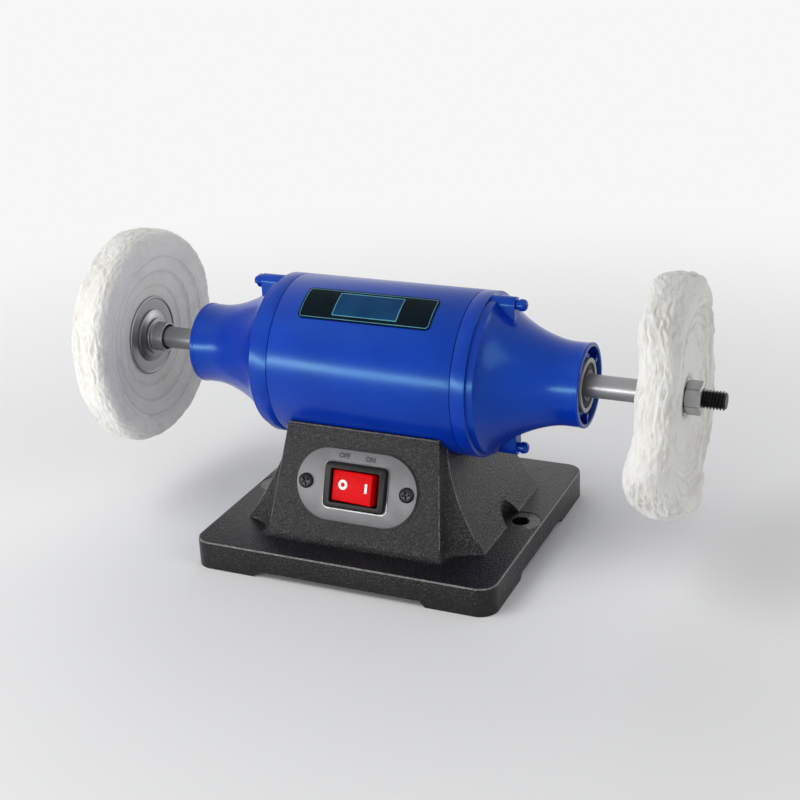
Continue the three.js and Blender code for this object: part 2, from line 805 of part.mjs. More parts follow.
function cableGland() {
  const group = new THREE.Group();
  const headStart = inletBossEnd + seatGap;
  const headEnd = headStart + glandHeadLength;
  const geometry = turned([
    [inletSeatAt - glandTail, glandBore], [inletSeatAt - glandTail, glandRadius],
    [headStart, glandRadius], [headStart, glandHeadRadius],
    [headEnd - glandHeadChamfer, glandHeadRadius], [headEnd, glandHeadRadius - glandHeadChamfer],
    [headEnd, glandBore],
  ], middleSteps, 'y');
  group.add(piece('cable_gland', geometry, blackPlastic));
  const nut = geometryOf(hexagonNut(inletSeatAt - seatGap - glandNutThickness, inletSeatAt - seatGap,
    glandNutFlats, glandRadius + holeGap, glandNutChamfer, middleSteps)).applyMatrix4(turnBack);
  group.add(piece('cable_gland_nut', nut, blackPlastic));
  group.position.set(inletAlong, 0, inletHeight);
  return group;
}

// Switch on the front slab, built around the slab's own frame

function switchPlate() {
  const outline = roundedOutline(plateHalfLength, plateHalfHeight, plateHalfHeight, 9);
  const hole = roundedOutline(
    housingHalfLength + fitGap, housingHalfHeight + fitGap, fitGap, 1);
  const holes = [hole];
  for (const side of [-1, 1]) {
    const x = side * plateScrewSpacingHalf;
    holes.push(circleOutline(plateScrewRadius + fitGap, tinySteps, x, 0));
  }
  return piece('switch_plate', extruded(outline, fitGap, switchPlateTop, holes), greySheet);
}

function switchPlateScrew(name, side) {
  const seat = switchPlateTop + fitGap;
  const geometry = panScrew(seat, seat - plateScrewLength,
    plateScrewRadius, plateScrewHead, plateScrewHeadHeight, smallSteps);
  const mesh = piece(name, geometry, darkSteel);
  mesh.position.x = side * plateScrewSpacingHalf;
  return mesh;
}

function switchHousing() {
  const frame = loft([
    { outline: roundedOutline(bezelHalfLength, bezelHalfHeight, bezelCorner, 3), height: bezelBottom },
    {
      outline: roundedOutline(bezelHalfLength, bezelHalfHeight, bezelCorner, 3),
      height: bezelTop - bezelSlope,
    },
    {
      outline: roundedOutline(bezelHalfLength - bezelSlope, bezelHalfHeight - bezelSlope,
        bezelCorner - bezelSlope, 3),
      height: bezelTop,
    },
  ]);
  const body = box([-housingHalfLength, -housingHalfHeight, housingBack],
    [housingHalfLength, housingHalfHeight, bezelTop - bezelSlope]);
  const well = box([-wellHalfLength, -wellHalfHeight, -wellFloor],
    [wellHalfLength, wellHalfHeight, bezelTop + overrun]);
  const pinReach = wellHalfHeight + pivotPinReach + fitGap;
  const pinHole = bar('y', -pinReach, pinReach, pivotPinRadius + holeGap, tinySteps, [0, 0, -pivotDepth]);
  const housing = solid(frame).add(solid(body)).subtract(solid(well)).subtract(solid(pinHole));
  return piece('switch_housing', housing, blackPlastic);
}

// The rocker turns about its own Y axis, and its left end is pressed in
function rocker() {
  const face = [];
  for (let step = 0; step <= rockerFaceSteps; step += 1) {
    const across = 1 - 2 * step / rockerFaceSteps;
    const height = THREE.MathUtils.lerp(rockerMiddleHeight, rockerEndHeight, across ** 2);
    face.push(new THREE.Vector2(across * rockerHalfLength, height + pivotDepth));
  }
  const outline = [
    ...face,
    new THREE.Vector2(-rockerHalfLength, pivotDepth - rockerSkirt),
    new THREE.Vector2(-rockerKeelHalf, pivotDepth - rockerKeel),
    new THREE.Vector2(rockerKeelHalf, pivotDepth - rockerKeel),
    new THREE.Vector2(rockerHalfLength, pivotDepth - rockerSkirt),
  ];
  const block = extruded(outline, -rockerHalfHeight, rockerHalfHeight).rotateX(Math.PI / 2);
  const pinEnd = wellHalfHeight + pivotPinReach;
  const pins = bar('y', -pinEnd, pinEnd, pivotPinRadius, tinySteps);
  const mesh = piece('switch_rocker', solid(block).add(solid(pins)), redPlastic);
  mesh.position.z = -pivotDepth;
  mesh.rotation.y = -rockerTilt;
  return mesh;
}

function switchTerminals() {
  const group = new THREE.Group();
  const top = housingBack - fitGap;
  for (const [name, side, row] of [
    ['upper_left', -1, 1], ['upper_right', 1, 1], ['lower_left', -1, -1], ['lower_right', 1, -1],
  ]) {
    const blade = box([-terminalHalfLength, -terminalHalfThickness, top - terminalLength],
      [terminalHalfLength, terminalHalfThickness, top]);
    const mesh = piece(`switch_terminal_${name}`, blade, brassBlade);
    mesh.position.set(side * terminalAlong, row * terminalAcross, 0);
    group.add(mesh);
  }
  return group;
}

function switchAssembly() {
  const group = new THREE.Group();
  group.position.copy(slabFrame.position);
  group.rotation.copy(slabFrame.rotation);
  group.add(
    switchPlate(),
    switchPlateScrew('switch_plate_screw_left', -1),
    switchPlateScrew('switch_plate_screw_right', 1),
    switchHousing(),
    rocker(),
    switchTerminals(),
  );
  return group;
}

// Motor, built around its own axis

function motorShell() {
  let body = solid(ring(-shellHalfLength, shellHalfLength, shellInside, shellRadius, largeSteps));
  for (const side of [-1, 1]) {
    const hole = bar('z', 0, shellRadius + overrun, saddleScrewRadius + fitGap, smallSteps);
    body = body.subtract(solid(hole.applyMatrix4(saddleFrame(side, 0).matrix)));
  }
  return piece('motor_shell', body, bluePaint);
}

function namePlate() {
  const low = shellRadius + holeGap;
  const high = low + namePlateThickness;
  const band = ring(-shellHalfLength, shellHalfLength, low, high, largeSteps);
  const outline = roundedOutline(namePlateHalfLength, namePlateHalfHeight, namePlateCorner, 3);
  const prism = extruded(outline, shellRadius / 2, shellRadius + overrun)
    .rotateX(Math.PI / 2 - namePlateMiddle)
    .translate(namePlateAlong, 0, 0);
  return piece('name_plate', solid(band).intersect(solid(prism)), blackLabel);
}

function saddleScrew(name, side) {
  const frame = saddleFrame(side, 0);
  const nutTop = Math.sqrt(shellInside ** 2 - saddleNutHalf ** 2) - fitGap - fitGap;
  const nutBottom = nutTop - saddleNutHeight;
  const seat = saddleSeatAt + fitGap;
  const screw = panScrew(seat, nutBottom, saddleScrewRadius, saddleHeadRadius, saddleHeadHeight, smallSteps);
  const plate = box([-saddleNutHalf, -saddleNutHalf, nutBottom], [saddleNutHalf, saddleNutHalf, nutTop]);
  const bore = bar('z', nutBottom - overrun, nutTop + overrun, saddleScrewRadius + fitGap, smallSteps);
  frame.add(piece(`${name}_screw`, screw, darkSteel));
  frame.add(piece(`${name}_nut`, solid(plate).subtract(solid(bore)), dullSteel));
  return frame;
}

function statorCore() {
  const slots = [];
  for (let i = 0; i < statorSlots; i += 1) {
    const middle = (i + 1 / 2) / statorSlots * 2 * Math.PI;
    const corner = (radius, angle) => new THREE.Vector2(radius * Math.cos(angle), radius * Math.sin(angle));
    slots.push([
      corner(slotInner, middle - slotHalfAngle), corner(slotOuter, middle - slotHalfAngle),
      corner(slotOuter, middle + slotHalfAngle), corner(slotInner, middle + slotHalfAngle),
    ]);
  }
  const outline = circleOutline(shellInside - fitGap, largeSteps);
  const bore = circleOutline(rotorRadius + airGap, largeSteps);
  let body = solid(extruded(outline, -stackHalf, stackHalf, [bore, ...slots]).applyMatrix4(turnBack));
  for (const side of [-1, 1]) {
    const inner = side * (tieBoltOut - boltNotchHalf);
    const outer = side * (shellRadius + overrun);
    body = body.subtract(solid(box(
      [-stackHalf - overrun, -boltNotchHalf, Math.min(inner, outer)],
      [stackHalf + overrun, boltNotchHalf, Math.max(inner, outer)],
    )));
  }
  return piece('stator_core', body, dullSteel);
}

function winding(name) {
  const start = stackHalf + fitGap;
  const end = start + windingLength;
  return piece(name, turned([
    [start, windingInner], [start, windingOuter], [end - windingRound, windingOuter],
    [end, windingOuter - windingRound], [end, windingInner + windingRound],
    [end - windingRound, windingInner],
  ], middleSteps), copperWire);
}

// The bell's outside from its band to its nose
function flareCurve() {
  const run = flareEnd - bandEnd;
  const fall = bandRadius - noseRadius;
  return new THREE.CubicBezierCurve(
    new THREE.Vector2(bandEnd, bandRadius),
    new THREE.Vector2(bandEnd + flareFirstRunShare * run, bandRadius - flareFirstFallShare * fall),
    new THREE.Vector2(flareEnd - flareLastRunShare * run, noseRadius),
    new THREE.Vector2(flareEnd, noseRadius),
  );
}

function bellProfile() {
  const curve = flareCurve();
  const outside = curve.getPoints(flareSteps).map(({ x, y }) => [x, y]);
  const inside = innerFlareShares.map((share) => {
    const point = curve.getPoint(share);
    const tangent = curve.getTangent(share);
    return [point.x + bellWall * tangent.y, point.y - bellWall * tangent.x];
  });
  const spigotEnd = shellHalfLength - spigotLength;
  const skirtStart = shellHalfLength + seatGap;
  const closingWallStart = closingWallEnd - closingWall;
  const shoulderEnd = bearingInnerFace - seatGap;
  return [
    [spigotEnd, spigotRadius], [skirtStart, spigotRadius], [skirtStart, shellRadius],
    [skirtEnd, shellRadius], [skirtEnd + stepRun, bandRadius],
    ...outside,
    [noseEnd - noseLipLength, noseRadius], [noseEnd - noseLipLength, noseLipRadius],
    [noseEnd - noseChamfer, noseLipRadius], [noseEnd, noseLipRadius - noseChamfer],
    [noseEnd, noseBore], [closingWallEnd, noseBore], [closingWallEnd, hubOuter],
    [hubEnd, hubOuter], [hubEnd, bearingSeatRadius],
    [shoulderEnd, bearingSeatRadius], [shoulderEnd, hubShoulderRadius],
    [closingWallStart, hubShoulderRadius], [closingWallStart, noseRadius - bellWall],
    ...inside.reverse(),
    [bandEnd - bellWall, spigotRadius - bellWall], [spigotEnd, spigotRadius - bellWall],
  ];
}

function endBell(name) {
  let body = solid(turned(bellProfile(), largeSteps));
  for (let i = 0; i < ribCount; i += 1) {
    const middle = (bearingSeatRadius + hubOuter) / 2;
    const rib = box([closingWallEnd - closingWall / 2, -ribHalf, middle],
      [noseEnd - ribSetBack, ribHalf, noseBore + (noseRadius - noseBore) / 2]);
    body = body.add(solid(rib.rotateX(Math.PI + i / ribCount * 2 * Math.PI)));
  }
  for (const side of [-1, 1]) {
    const place = [0, 0, side * tieBoltOut];
    const inner = side * (tieBoltOut - lugDepth);
    const lugBlock = box([lugStart, -lugHalf, Math.min(inner, side * tieBoltOut)],
      [lugEnd, lugHalf, Math.max(inner, side * tieBoltOut)]);
    body = body.add(solid(lugBlock)).add(solid(bar('x', lugStart, lugEnd, lugHalf, smallSteps, place)));
  }
  for (const side of [-1, 1]) {
    const hole = bar('x', shellHalfLength - spigotLength - overrun, lugEnd + overrun,
      tieBoltRadius + fitGap, tinySteps, [0, 0, side * tieBoltOut]);
    body = body.subtract(solid(hole));
  }
  return piece(name, body, bluePaint);
}

function tieBolt(name, side) {
  const group = new THREE.Group();
  const seat = lugEnd + seatGap;
  const headStart = seat + tieNeckLength;
  const headEnd = headStart + tieHeadLength;
  const rodEnd = -seat - tieNutLength - tieBoltPast;
  const bolt = turned([
    [rodEnd, 0], [rodEnd, tieBoltRadius], [seat, tieBoltRadius], [seat, tieNeckRadius],
    [headStart, tieNeckRadius], [headStart, tieHeadRadius],
    [headEnd - tieHeadRadius * tieHeadDomeShare, tieHeadRadius],
    [headEnd, tieHeadRadius * tieHeadEndShare], [headEnd, 0],
  ], tinySteps);
  const nut = hexagonNut(-seat - tieNutLength, -seat,
    tieNutFlats, tieBoltRadius + holeGap, tieNutChamfer, smallSteps);
  group.add(piece(`tie_bolt_${name}`, bolt, bluePaint), piece(`tie_nut_${name}`, nut, bluePaint));
  group.position.z = side * tieBoltOut;
  return group;
}

// Ball bearing in the nose of a bell
function bearing(sideName) {
  const group = new THREE.Group();
  const start = bearingInnerFace;
  const end = bearingFaceAt;
  const sealEnd = end - sealSetBack;
  const middle = (start + end) / 2;
  const pitch = (outerRaceInside + innerRaceOutside) / 2;
  let cage = solid(ring(middle - cageHalfWidth, middle + cageHalfWidth,
    pitch - cageHalfDepth, pitch + cageHalfDepth, smallSteps));
  for (let i = 0; i < ballCount; i += 1) {
    const angle = i / ballCount * 2 * Math.PI;
    const ball = new THREE.SphereGeometry(ballRadius, ballSides, ballRows);
    cage = cage.add(solid(ball.translate(middle, pitch * Math.cos(angle), pitch * Math.sin(angle))));
  }
  group.add(
    piece(`${sideName}_bearing_outer_ring`,
      ring(start, end, outerRaceInside, bearingOuter, middleSteps), brightSteel),
    piece(`${sideName}_bearing_inner_ring`,
      ring(start, end, bearingBore + seatGap, innerRaceOutside, middleSteps), brightSteel),
    piece(`${sideName}_bearing_seal`,
      ring(sealEnd - sealThickness, sealEnd, innerRaceOutside + fitGap, outerRaceInside - seatGap,
        middleSteps), blackRubber),
    piece(`${sideName}_bearing_cage`, cage, brightSteel),
  );
  return group;
}

// Rotor and shaft

function shaft() {
  const core = bearingInnerFace - seatGap;
  const threadEnd = shaftEnd - threadChamfer;
  const right = [
    [core, shaftCoreRadius], [core, shaftRadius], [shoulderAt, shaftRadius],
    [shoulderAt, threadRadius], [threadEnd, threadRadius], [shaftEnd, threadRadius - threadChamfer],
    [shaftEnd, 0],
  ];
  const left = right.map(([along, radius]) => [-along, radius]).reverse();
  return piece('shaft', turned([...left, ...right], middleSteps), brightSteel);
}

function rotorCore() {
  const bore = shaftCoreRadius + seatGap;
  return piece('rotor_core', ring(-stackHalf, stackHalf, bore, rotorRadius, largeSteps), dullSteel);
}

function endRing(name) {
  const start = stackHalf + seatGap;
  return piece(name, ring(start, start + endRingLength, endRingInner, endRingOuter, middleSteps),
    castAluminium);
}

// Pieces that clamp a wheel, and the wheel itself

function flangeCollar(name) {
  const lipEnd = collarLipStart + collarLipLength;
  return piece(name, turned([
    [collarStart, collarInner], [collarStart, collarOuter], [collarLipStart, collarOuter],
    [collarLipStart, collarLipRadius], [lipEnd, collarLipRadius], [lipEnd, collarOuter],
    [collarEnd, collarOuter], [collarEnd, threadBore],
    [shoulderAt + seatGap, threadBore], [shoulderAt + seatGap, collarInner],
  ], middleSteps), brightSteel);
}

function domedWasher(name) {
  const start = collarLipStart + collarLipLength + seatGap;
  const end = flangeStart - seatGap;
  const bore = collarOuter + fitGap;
  const bend = domedRadius - domedRimWidth;
  return piece(name, turned([
    [start, bore], [start + domedRise, bend], [end - domedThickness, domedRadius],
    [end, domedRadius], [start + domedRise + domedThickness, bend], [start + domedThickness, bore],
  ], middleSteps), brightSteel);
}

function flangeWasher(name) {
  return piece(name, ring(flangeStart, flangeStart + flangeThickness, threadBore, flangeRadius,
    largeSteps), brightSteel);
}

function outerWasher(name) {
  return piece(name, ring(outerWasherStart, outerWasherStart + outerWasherThickness, threadBore,
    outerWasherRadius, middleSteps), dullSteel);
}

function wheelNut(name) {
  const nut = hexagonNut(nutStart, nutStart + nutHeight, nutFlats, threadBore, nutChamfer, middleSteps);
  return piece(name, nut, dullSteel);
}

// A value between the shares that lie at even steps around, at an angle from the first of them
function around(shares, angle) {
  const place = angle / (2 * Math.PI) * shares.length;
  const first = Math.floor(place);
  const part = THREE.MathUtils.smoothstep(place - first, 0, 1);
  return THREE.MathUtils.lerp(shares[first % shares.length], shares[(first + 1) % shares.length], part);
}

// A sewn cloth wheel: flat at its hub and swollen at its rim, which sways a little along the shaft
function clothWheel(name, swayShares, swellShares) {
  const hubHalf = wheelHubThickness / 2;
  const faceRadius = flangeRadius + wheelFaceWidth;
  const faceHalf = hubHalf + wheelFaceSwell;
  const positions = [];
  const index = [];
  for (let turn = 0; turn < wheelSteps; turn += 1) {
    const angle = turn / wheelSteps * 2 * Math.PI;
    const sway = rimSway * around(swayShares, angle);
    const half = rimHalf + rimSwell * around(swellShares, angle);
    const profile = [
      [hubHalf, threadBore], [-hubHalf, threadBore], [-hubHalf, flangeRadius], [-faceHalf, faceRadius],
    ];
    for (let step = 0; step <= rimSteps; step += 1) {
      const part = step / rimSteps * Math.PI;
      profile.push([-half * Math.cos(part), wheelRadius - rimHeight + rimHeight * Math.sin(part)]);
    }
    profile.push([faceHalf, faceRadius], [hubHalf, flangeRadius]);
    const count = profile.length;
    const next = (turn + 1) % wheelSteps;
    profile.forEach(([along, radius], i) => {
      const reach = Math.max(radius - flangeRadius, 0) / (wheelRadius - flangeRadius);
      const x = wheelMiddle + along + sway * reach ** 2;
      positions.push(x, radius * Math.cos(angle), radius * Math.sin(angle));
      const a = turn * count + i;
      const b = turn * count + (i + 1) % count;
      const c = next * count + (i + 1) % count;
      const d = next * count + i;
      index.push(a, c, b, a, d, c);
    });
  }
  const geometry = new THREE.BufferGeometry();
  geometry.setAttribute('position', new THREE.Float32BufferAttribute(positions, 3));
  geometry.setIndex(index);
  return piece(name, geometry, whiteCloth);
}

// Everything on one end of the motor, built for the right end
function motorEnd(sideName, swayShares, swellShares) {
  const group = new THREE.Group();
  group.add(
    endBell(`${sideName}_end_bell`),
    winding(`${sideName}_winding_head`),
    bearing(sideName),
    endRing(`${sideName}_rotor_end_ring`),
    flangeCollar(`${sideName}_flange_collar`),
    domedWasher(`${sideName}_domed_washer`),
    flangeWasher(`${sideName}_flange_washer`),
    clothWheel(`${sideName}_cloth_wheel`, swayShares, swellShares),
    outerWasher(`${sideName}_outer_washer`),
    wheelNut(`${sideName}_wheel_nut`),
  );
  return group;
}

const motor = new THREE.Group();
motor.position.z = axisHeight;
const rightEnd = motorEnd('right', rightSwayShares, rightSwellShares);
const leftEnd = motorEnd('left', leftSwayShares, leftSwellShares);
leftEnd.rotation.z = Math.PI;
motor.add(
  motorShell(),
  namePlate(),
  saddleScrew('left_saddle', -1),
  saddleScrew('right_saddle', 1),
  statorCore(),
  rotorCore(),
  shaft(),
  tieBolt('top', 1),
  tieBolt('bottom', -1),
  rightEnd,
  leftEnd,
);

const polishingMachine = new THREE.Group();
polishingMachine.add(
  baseCasting(),
  bottomCover(),
  coverScrews(),
  capacitor(),
  capacitorClip(),
  terminalBlock(),
  cableGland(),
  switchAssembly(),
  motor,
);

export default polishingMachine;
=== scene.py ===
import math

import bmesh
import bpy
from mathutils import Matrix, Vector, noise


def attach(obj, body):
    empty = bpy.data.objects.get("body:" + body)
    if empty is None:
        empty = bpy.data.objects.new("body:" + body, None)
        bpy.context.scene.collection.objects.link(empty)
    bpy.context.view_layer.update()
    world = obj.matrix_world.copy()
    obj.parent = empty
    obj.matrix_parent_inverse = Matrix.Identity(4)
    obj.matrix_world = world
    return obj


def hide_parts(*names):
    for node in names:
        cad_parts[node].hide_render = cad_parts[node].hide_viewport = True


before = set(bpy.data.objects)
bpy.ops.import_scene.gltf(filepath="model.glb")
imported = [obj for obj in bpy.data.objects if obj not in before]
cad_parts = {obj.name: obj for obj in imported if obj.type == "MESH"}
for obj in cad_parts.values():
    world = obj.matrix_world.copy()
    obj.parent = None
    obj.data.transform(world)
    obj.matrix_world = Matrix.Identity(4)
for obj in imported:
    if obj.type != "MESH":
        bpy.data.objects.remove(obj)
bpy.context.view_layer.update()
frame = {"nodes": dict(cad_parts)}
nodes = frame["nodes"]


# Camera and light
# The camera stands front right and a little above the machine. A long low strip light from the
# front left lights the front of the base and draws one pale line along the motor.

YAW, PITCH, ROLL = (math.radians(angle) for angle in (24.33, 22.15, -2.49))
forward = Vector((-math.sin(YAW) * math.cos(PITCH), math.cos(YAW) * math.cos(PITCH), -math.sin(PITCH)))
level_right = Vector((math.cos(YAW), math.sin(YAW), 0))
level_up = level_right.cross(forward)
camera_right = math.cos(ROLL) * level_right + math.sin(ROLL) * level_up
camera_up = math.cos(ROLL) * level_up - math.sin(ROLL) * level_right

camera = bpy.data.objects.new("camera", bpy.data.cameras.new("camera"))
camera.data.lens = 66.68
camera.data.sensor_width = 36.0
camera.data.clip_start = 0.05
camera.matrix_world = Matrix((camera_right, camera_up, -forward)).transposed().to_4x4()
camera.location = (0.38514, -0.83768, 0.46999)
bpy.context.scene.collection.objects.link(camera)
bpy.context.scene.camera = camera
bpy.context.scene.view_settings.view_transform = "Standard"

MOTOR_MIDDLE = Vector((0.0, 0.0, 0.122))


def softbox(name, azimuth, elevation, distance, width, height, watts, mirrored=True):
    """An area lamp that faces the motor from azimuth degrees right of the front and elevation above.
    One that isn't mirrored lights the machine without showing in its gloss."""
    turn, rise = math.radians(azimuth), math.radians(elevation)
    aim = Vector((math.sin(turn) * math.cos(rise), -math.cos(turn) * math.cos(rise), math.sin(rise)))
    lamp = bpy.data.lights.new(name, "AREA")
    lamp.shape = "RECTANGLE"
    lamp.size, lamp.size_y, lamp.energy = width, height, watts
    holder = bpy.data.objects.new(name, lamp)
    holder.location = MOTOR_MIDDLE + distance * aim
    holder.rotation_euler = aim.to_track_quat("Z", "Y").to_euler()
    holder.visible_glossy = mirrored
    bpy.context.scene.collection.objects.link(holder)


softbox("front_strip", -25, 3, 1.25, 1.5, 0.13, 8.8)
softbox("front_fill", -25, -6, 1.25, 1.5, 0.3, 2.5)
softbox("top_left_box", -50, 50, 1.5, 0.9, 0.9, 8.5, mirrored=False)
softbox("right_box", 75, 30, 1.6, 0.8, 0.8, 3.5)
softbox("right_back_box", 141, 4, 1.6, 0.9, 0.9, 5.0)
softbox("back_box", -152, 30, 1.5, 1.4, 0.8, 5.5, mirrored=False)


# Floor and backdrop
# A wide pale table top that takes the machine's shadow, under an even pale sky. Away from the
# machine the table fades into the sky's white.

PALE = (0.93, 0.94, 0.95, 1.0)
WHITE = (1.0, 1.0, 1.0, 1.0)
TABLE_PALE = (0.86, 0.86, 0.86, 1.0)
SKY_LIGHT = 0.36
FAR_WHITE = 0.93
TABLE_RADIUS = 12.0
TABLE_HEIGHT = -0.0002
SHADOW_REACH, SHADOW_END = 0.2, 0.9


class Number:
    """A socket of a node. Sums with a number's socket add Math nodes to its tree."""

    def __init__(self, nodes, socket):
        self.nodes = nodes
        self.socket = socket

    def math(self, operation, *others):
        values = dict(enumerate((self, *others)))
        return self.nodes.add("ShaderNodeMath", {"operation": operation}, values)

    def __add__(self, other):
        return self.math("ADD", other)

    def __sub__(self, other):
        return self.math("SUBTRACT", other)

    def __mul__(self, other):
        return self.math("MULTIPLY", other)

    def __rsub__(self, other):
        return self * -1.0 + other

    __radd__ = __add__
    __rmul__ = __mul__

    def over(self, low, high):
        """0 below low, 1 above high, and smooth between them. high may be the lower one."""
        values = {"Value": self, "From Min": min(low, high), "From Max": max(low, high),
                  "To Min": float(high < low), "To Max": float(low < high)}
        return self.nodes.add("ShaderNodeMapRange", {"interpolation_type": "SMOOTHSTEP"}, values)


class Nodes:
    """The nodes of the world or of a material."""

    def __init__(self, tree):
        self.tree = tree

    def add(self, kind, settings=None, values=None, output=0):
        """Adds a node with its settings, and the values or links of its sockets."""
        node = self.tree.nodes.new(kind)
        for key, value in (settings or {}).items():
            setattr(node, key, value)
        for key, value in (values or {}).items():
            if isinstance(value, Number):
                self.tree.links.new(value.socket, node.inputs[key])
            else:
                node.inputs[key].default_value = value
        return Number(self, node.outputs[output])

    def shows_backdrop(self):
        """1 for the rays that see the pale backdrop: those of the camera, of gloss and of glass."""
        ray = self.add("ShaderNodeLightPath").socket.node
        camera_ray, gloss_ray, glass_ray = (Number(self, ray.outputs[f"Is {kind} Ray"])
                                            for kind in ("Camera", "Glossy", "Transmission"))
        return camera_ray.math("MAXIMUM", gloss_ray).math("MAXIMUM", glass_ray)

    def surface(self, share, first, second, output):
        """Mixes two shaders by a share of the second one, for the tree's output."""
        mix = self.add("ShaderNodeMixShader", None, {0: share, 1: first, 2: second})
        self.tree.links.new(mix.socket, self.tree.nodes[output].inputs["Surface"])


class Finish(Nodes):
    """A material that is being built around one Principled shader."""

    def __init__(self, name, **constants):
        self.material = bpy.data.materials.new(name)
        self.material.use_nodes = True
        super().__init__(self.material.node_tree)
        self.shader = self.tree.nodes["Principled BSDF"]
        for socket, value in constants.items():
            self.shader.inputs[socket.replace("_", " ")].default_value = value
        self.place = self.add("ShaderNodeTexCoord", output="Object")

    def up(self):
        """The height over the bench, in metres."""
        return self.add("ShaderNodeSeparateXYZ", values={0: self.place}, output=2)

    def attribute(self, name):
        """A value that the mesh keeps at its corners, and 0 where it keeps none."""
        return self.add("ShaderNodeAttribute", {"attribute_name": name}, output="Fac")

    def stretched(self, along, around, height):
        """The object's coordinates scaled by another factor on each axis."""
        scale = (along, around, height)
        return self.add("ShaderNodeMapping", None, {"Vector": self.place, "Scale": scale})

    def noise(self, scale, detail=3.0, roughness=0.5, distortion=0.0, vector=None):
        values = {"Vector": vector or self.place, "Scale": scale, "Detail": detail,
                  "Roughness": roughness, "Distortion": distortion}
        return self.add("ShaderNodeTexNoise", None, values)

    def blend(self, factor, low, high):
        """A colour between two others. Each is a colour or the socket of one."""
        return self.add("ShaderNodeMix", {"data_type": "RGBA"}, {0: factor, 6: low, 7: high}, output=2)

    def paint(self, colour, roughness, bump, depth, strength):
        """Feeds what changes over the surface to the shader, and returns the finished material."""
        self.tree.links.new(colour.socket, self.shader.inputs["Base Color"])
        if roughness:
            self.tree.links.new(roughness.socket, self.shader.inputs["Roughness"])
        values = {"Height": bump, "Distance": depth, "Strength": strength}
        relief = self.add("ShaderNodeBump", None, values)
        self.tree.links.new(relief.socket, self.shader.inputs["Normal"])
        return self.material


world = bpy.data.worlds.new("pale_sky")
world.use_nodes = True
bpy.context.scene.world = world
sky = Nodes(world.node_tree)
sky.surface(sky.shows_backdrop(),
            sky.add("ShaderNodeBackground", None, {"Color": PALE, "Strength": SKY_LIGHT}),
            sky.add("ShaderNodeBackground", None, {"Color": WHITE, "Strength": FAR_WHITE}),
            "World Output")

table_top = Finish("pale_table", Base_Color=TABLE_PALE, Roughness=0.9, Specular_IOR_Level=0.1)
distance = table_top.add("ShaderNodeVectorMath", {"operation": "LENGTH"}, {0: table_top.place}, "Value")
table_top.surface(distance.over(SHADOW_REACH, SHADOW_END) * table_top.shows_backdrop(),
                  Number(table_top, table_top.shader.outputs[0]),
                  table_top.add("ShaderNodeEmission", None, {"Color": WHITE, "Strength": FAR_WHITE}),
                  "Material Output")

floor_mesh = bmesh.new()
bmesh.ops.create_circle(floor_mesh, cap_ends=True, segments=64, radius=TABLE_RADIUS)
bmesh.ops.translate(floor_mesh, vec=(0.0, 0.0, TABLE_HEIGHT), verts=floor_mesh.verts)
floor_data = bpy.data.meshes.new("floor")
floor_mesh.to_mesh(floor_data)
floor_mesh.free()
floor_data.materials.append(table_top.material)
floor = bpy.data.objects.new("floor", floor_data)
bpy.context.scene.collection.objects.link(floor)


# Motor shell
# A rolled steel tube around the stator, painted in glossy blue enamel. It lies in the saddle of the
# base, and the two end bells are pulled onto its ends.

MM = 0.001
AXIS = 122.0
ROUND = 96
SHARP = 32.0
SIDES = ((-1, "left"), (1, "right"))


def rgb(red, green, blue):
    """A colour as it looks on a screen, from 0 to 255, turned into the shader's own values."""
    linear = [c / 12.92 if c <= 0.04045 else ((c + 0.055) / 1.055) ** 2.4
              for c in (red / 255, green / 255, blue / 255)]
    return (*linear, 1.0)


def finished(name, mesh, material, body, replaces=(), sharp=SHARP):
    """Makes a bmesh in millimetres a piece that rides on a body, smooth but for its sharp edges."""
    bmesh.ops.scale(mesh, vec=(MM, MM, MM), verts=mesh.verts)
    for face in mesh.faces:
        face.smooth = True
    for edge in mesh.edges:
        edge.smooth = len(edge.link_faces) != 2 or edge.calc_face_angle() < math.radians(sharp)
    data = bpy.data.meshes.new(name)
    mesh.to_mesh(data)
    mesh.free()
    data.materials.append(material)
    piece = bpy.data.objects.new(name, data)
    bpy.context.scene.collection.objects.link(piece)
    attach(piece, body)
    if replaces:
        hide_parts(*replaces)
    return piece


def spun(mesh, corners, axis, middle, steps, closed):
    """Turns a line through a mesh's corners about an axis, and closes the seam and the poles."""
    for first, second in zip(corners, corners[1:] + corners[:closed]):
        mesh.edges.new((first, second))
    bmesh.ops.spin(mesh, geom=mesh.verts[:] + mesh.edges[:], cent=middle, axis=axis,
                   angle=2 * math.pi, steps=steps, use_merge=True)
    bmesh.ops.remove_doubles(mesh, verts=mesh.verts, dist=MM)
    bmesh.ops.recalc_face_normals(mesh, faces=mesh.faces)
    return mesh


def lathe(profile, side=1, closed=True, steps=ROUND, axis_height=AXIS):
    """A ring or bar turned about the shaft, from its corners (along, radius). side -1 is the left."""
    mesh = bmesh.new()
    corners = [mesh.verts.new((side * along, 0.0, axis_height + radius)) for along, radius in profile]
    return spun(mesh, corners, (1.0, 0.0, 0.0), (0.0, 0.0, axis_height), steps, closed)


def soften(mesh, radius, segments=2, sharp=SHARP, keep=None):
    """Rounds the mesh's sharp edges, or those among them that keep accepts."""
    limit = math.radians(sharp)
    edges = [edge for edge in mesh.edges
             if len(edge.link_faces) == 2 and edge.calc_face_angle() > limit
             and (keep is None or keep(edge))]
    bmesh.ops.bevel(mesh, geom=edges, offset=radius, segments=segments, profile=0.5,
                    affect="EDGES", material=-1, clamp_overlap=True)
    return mesh


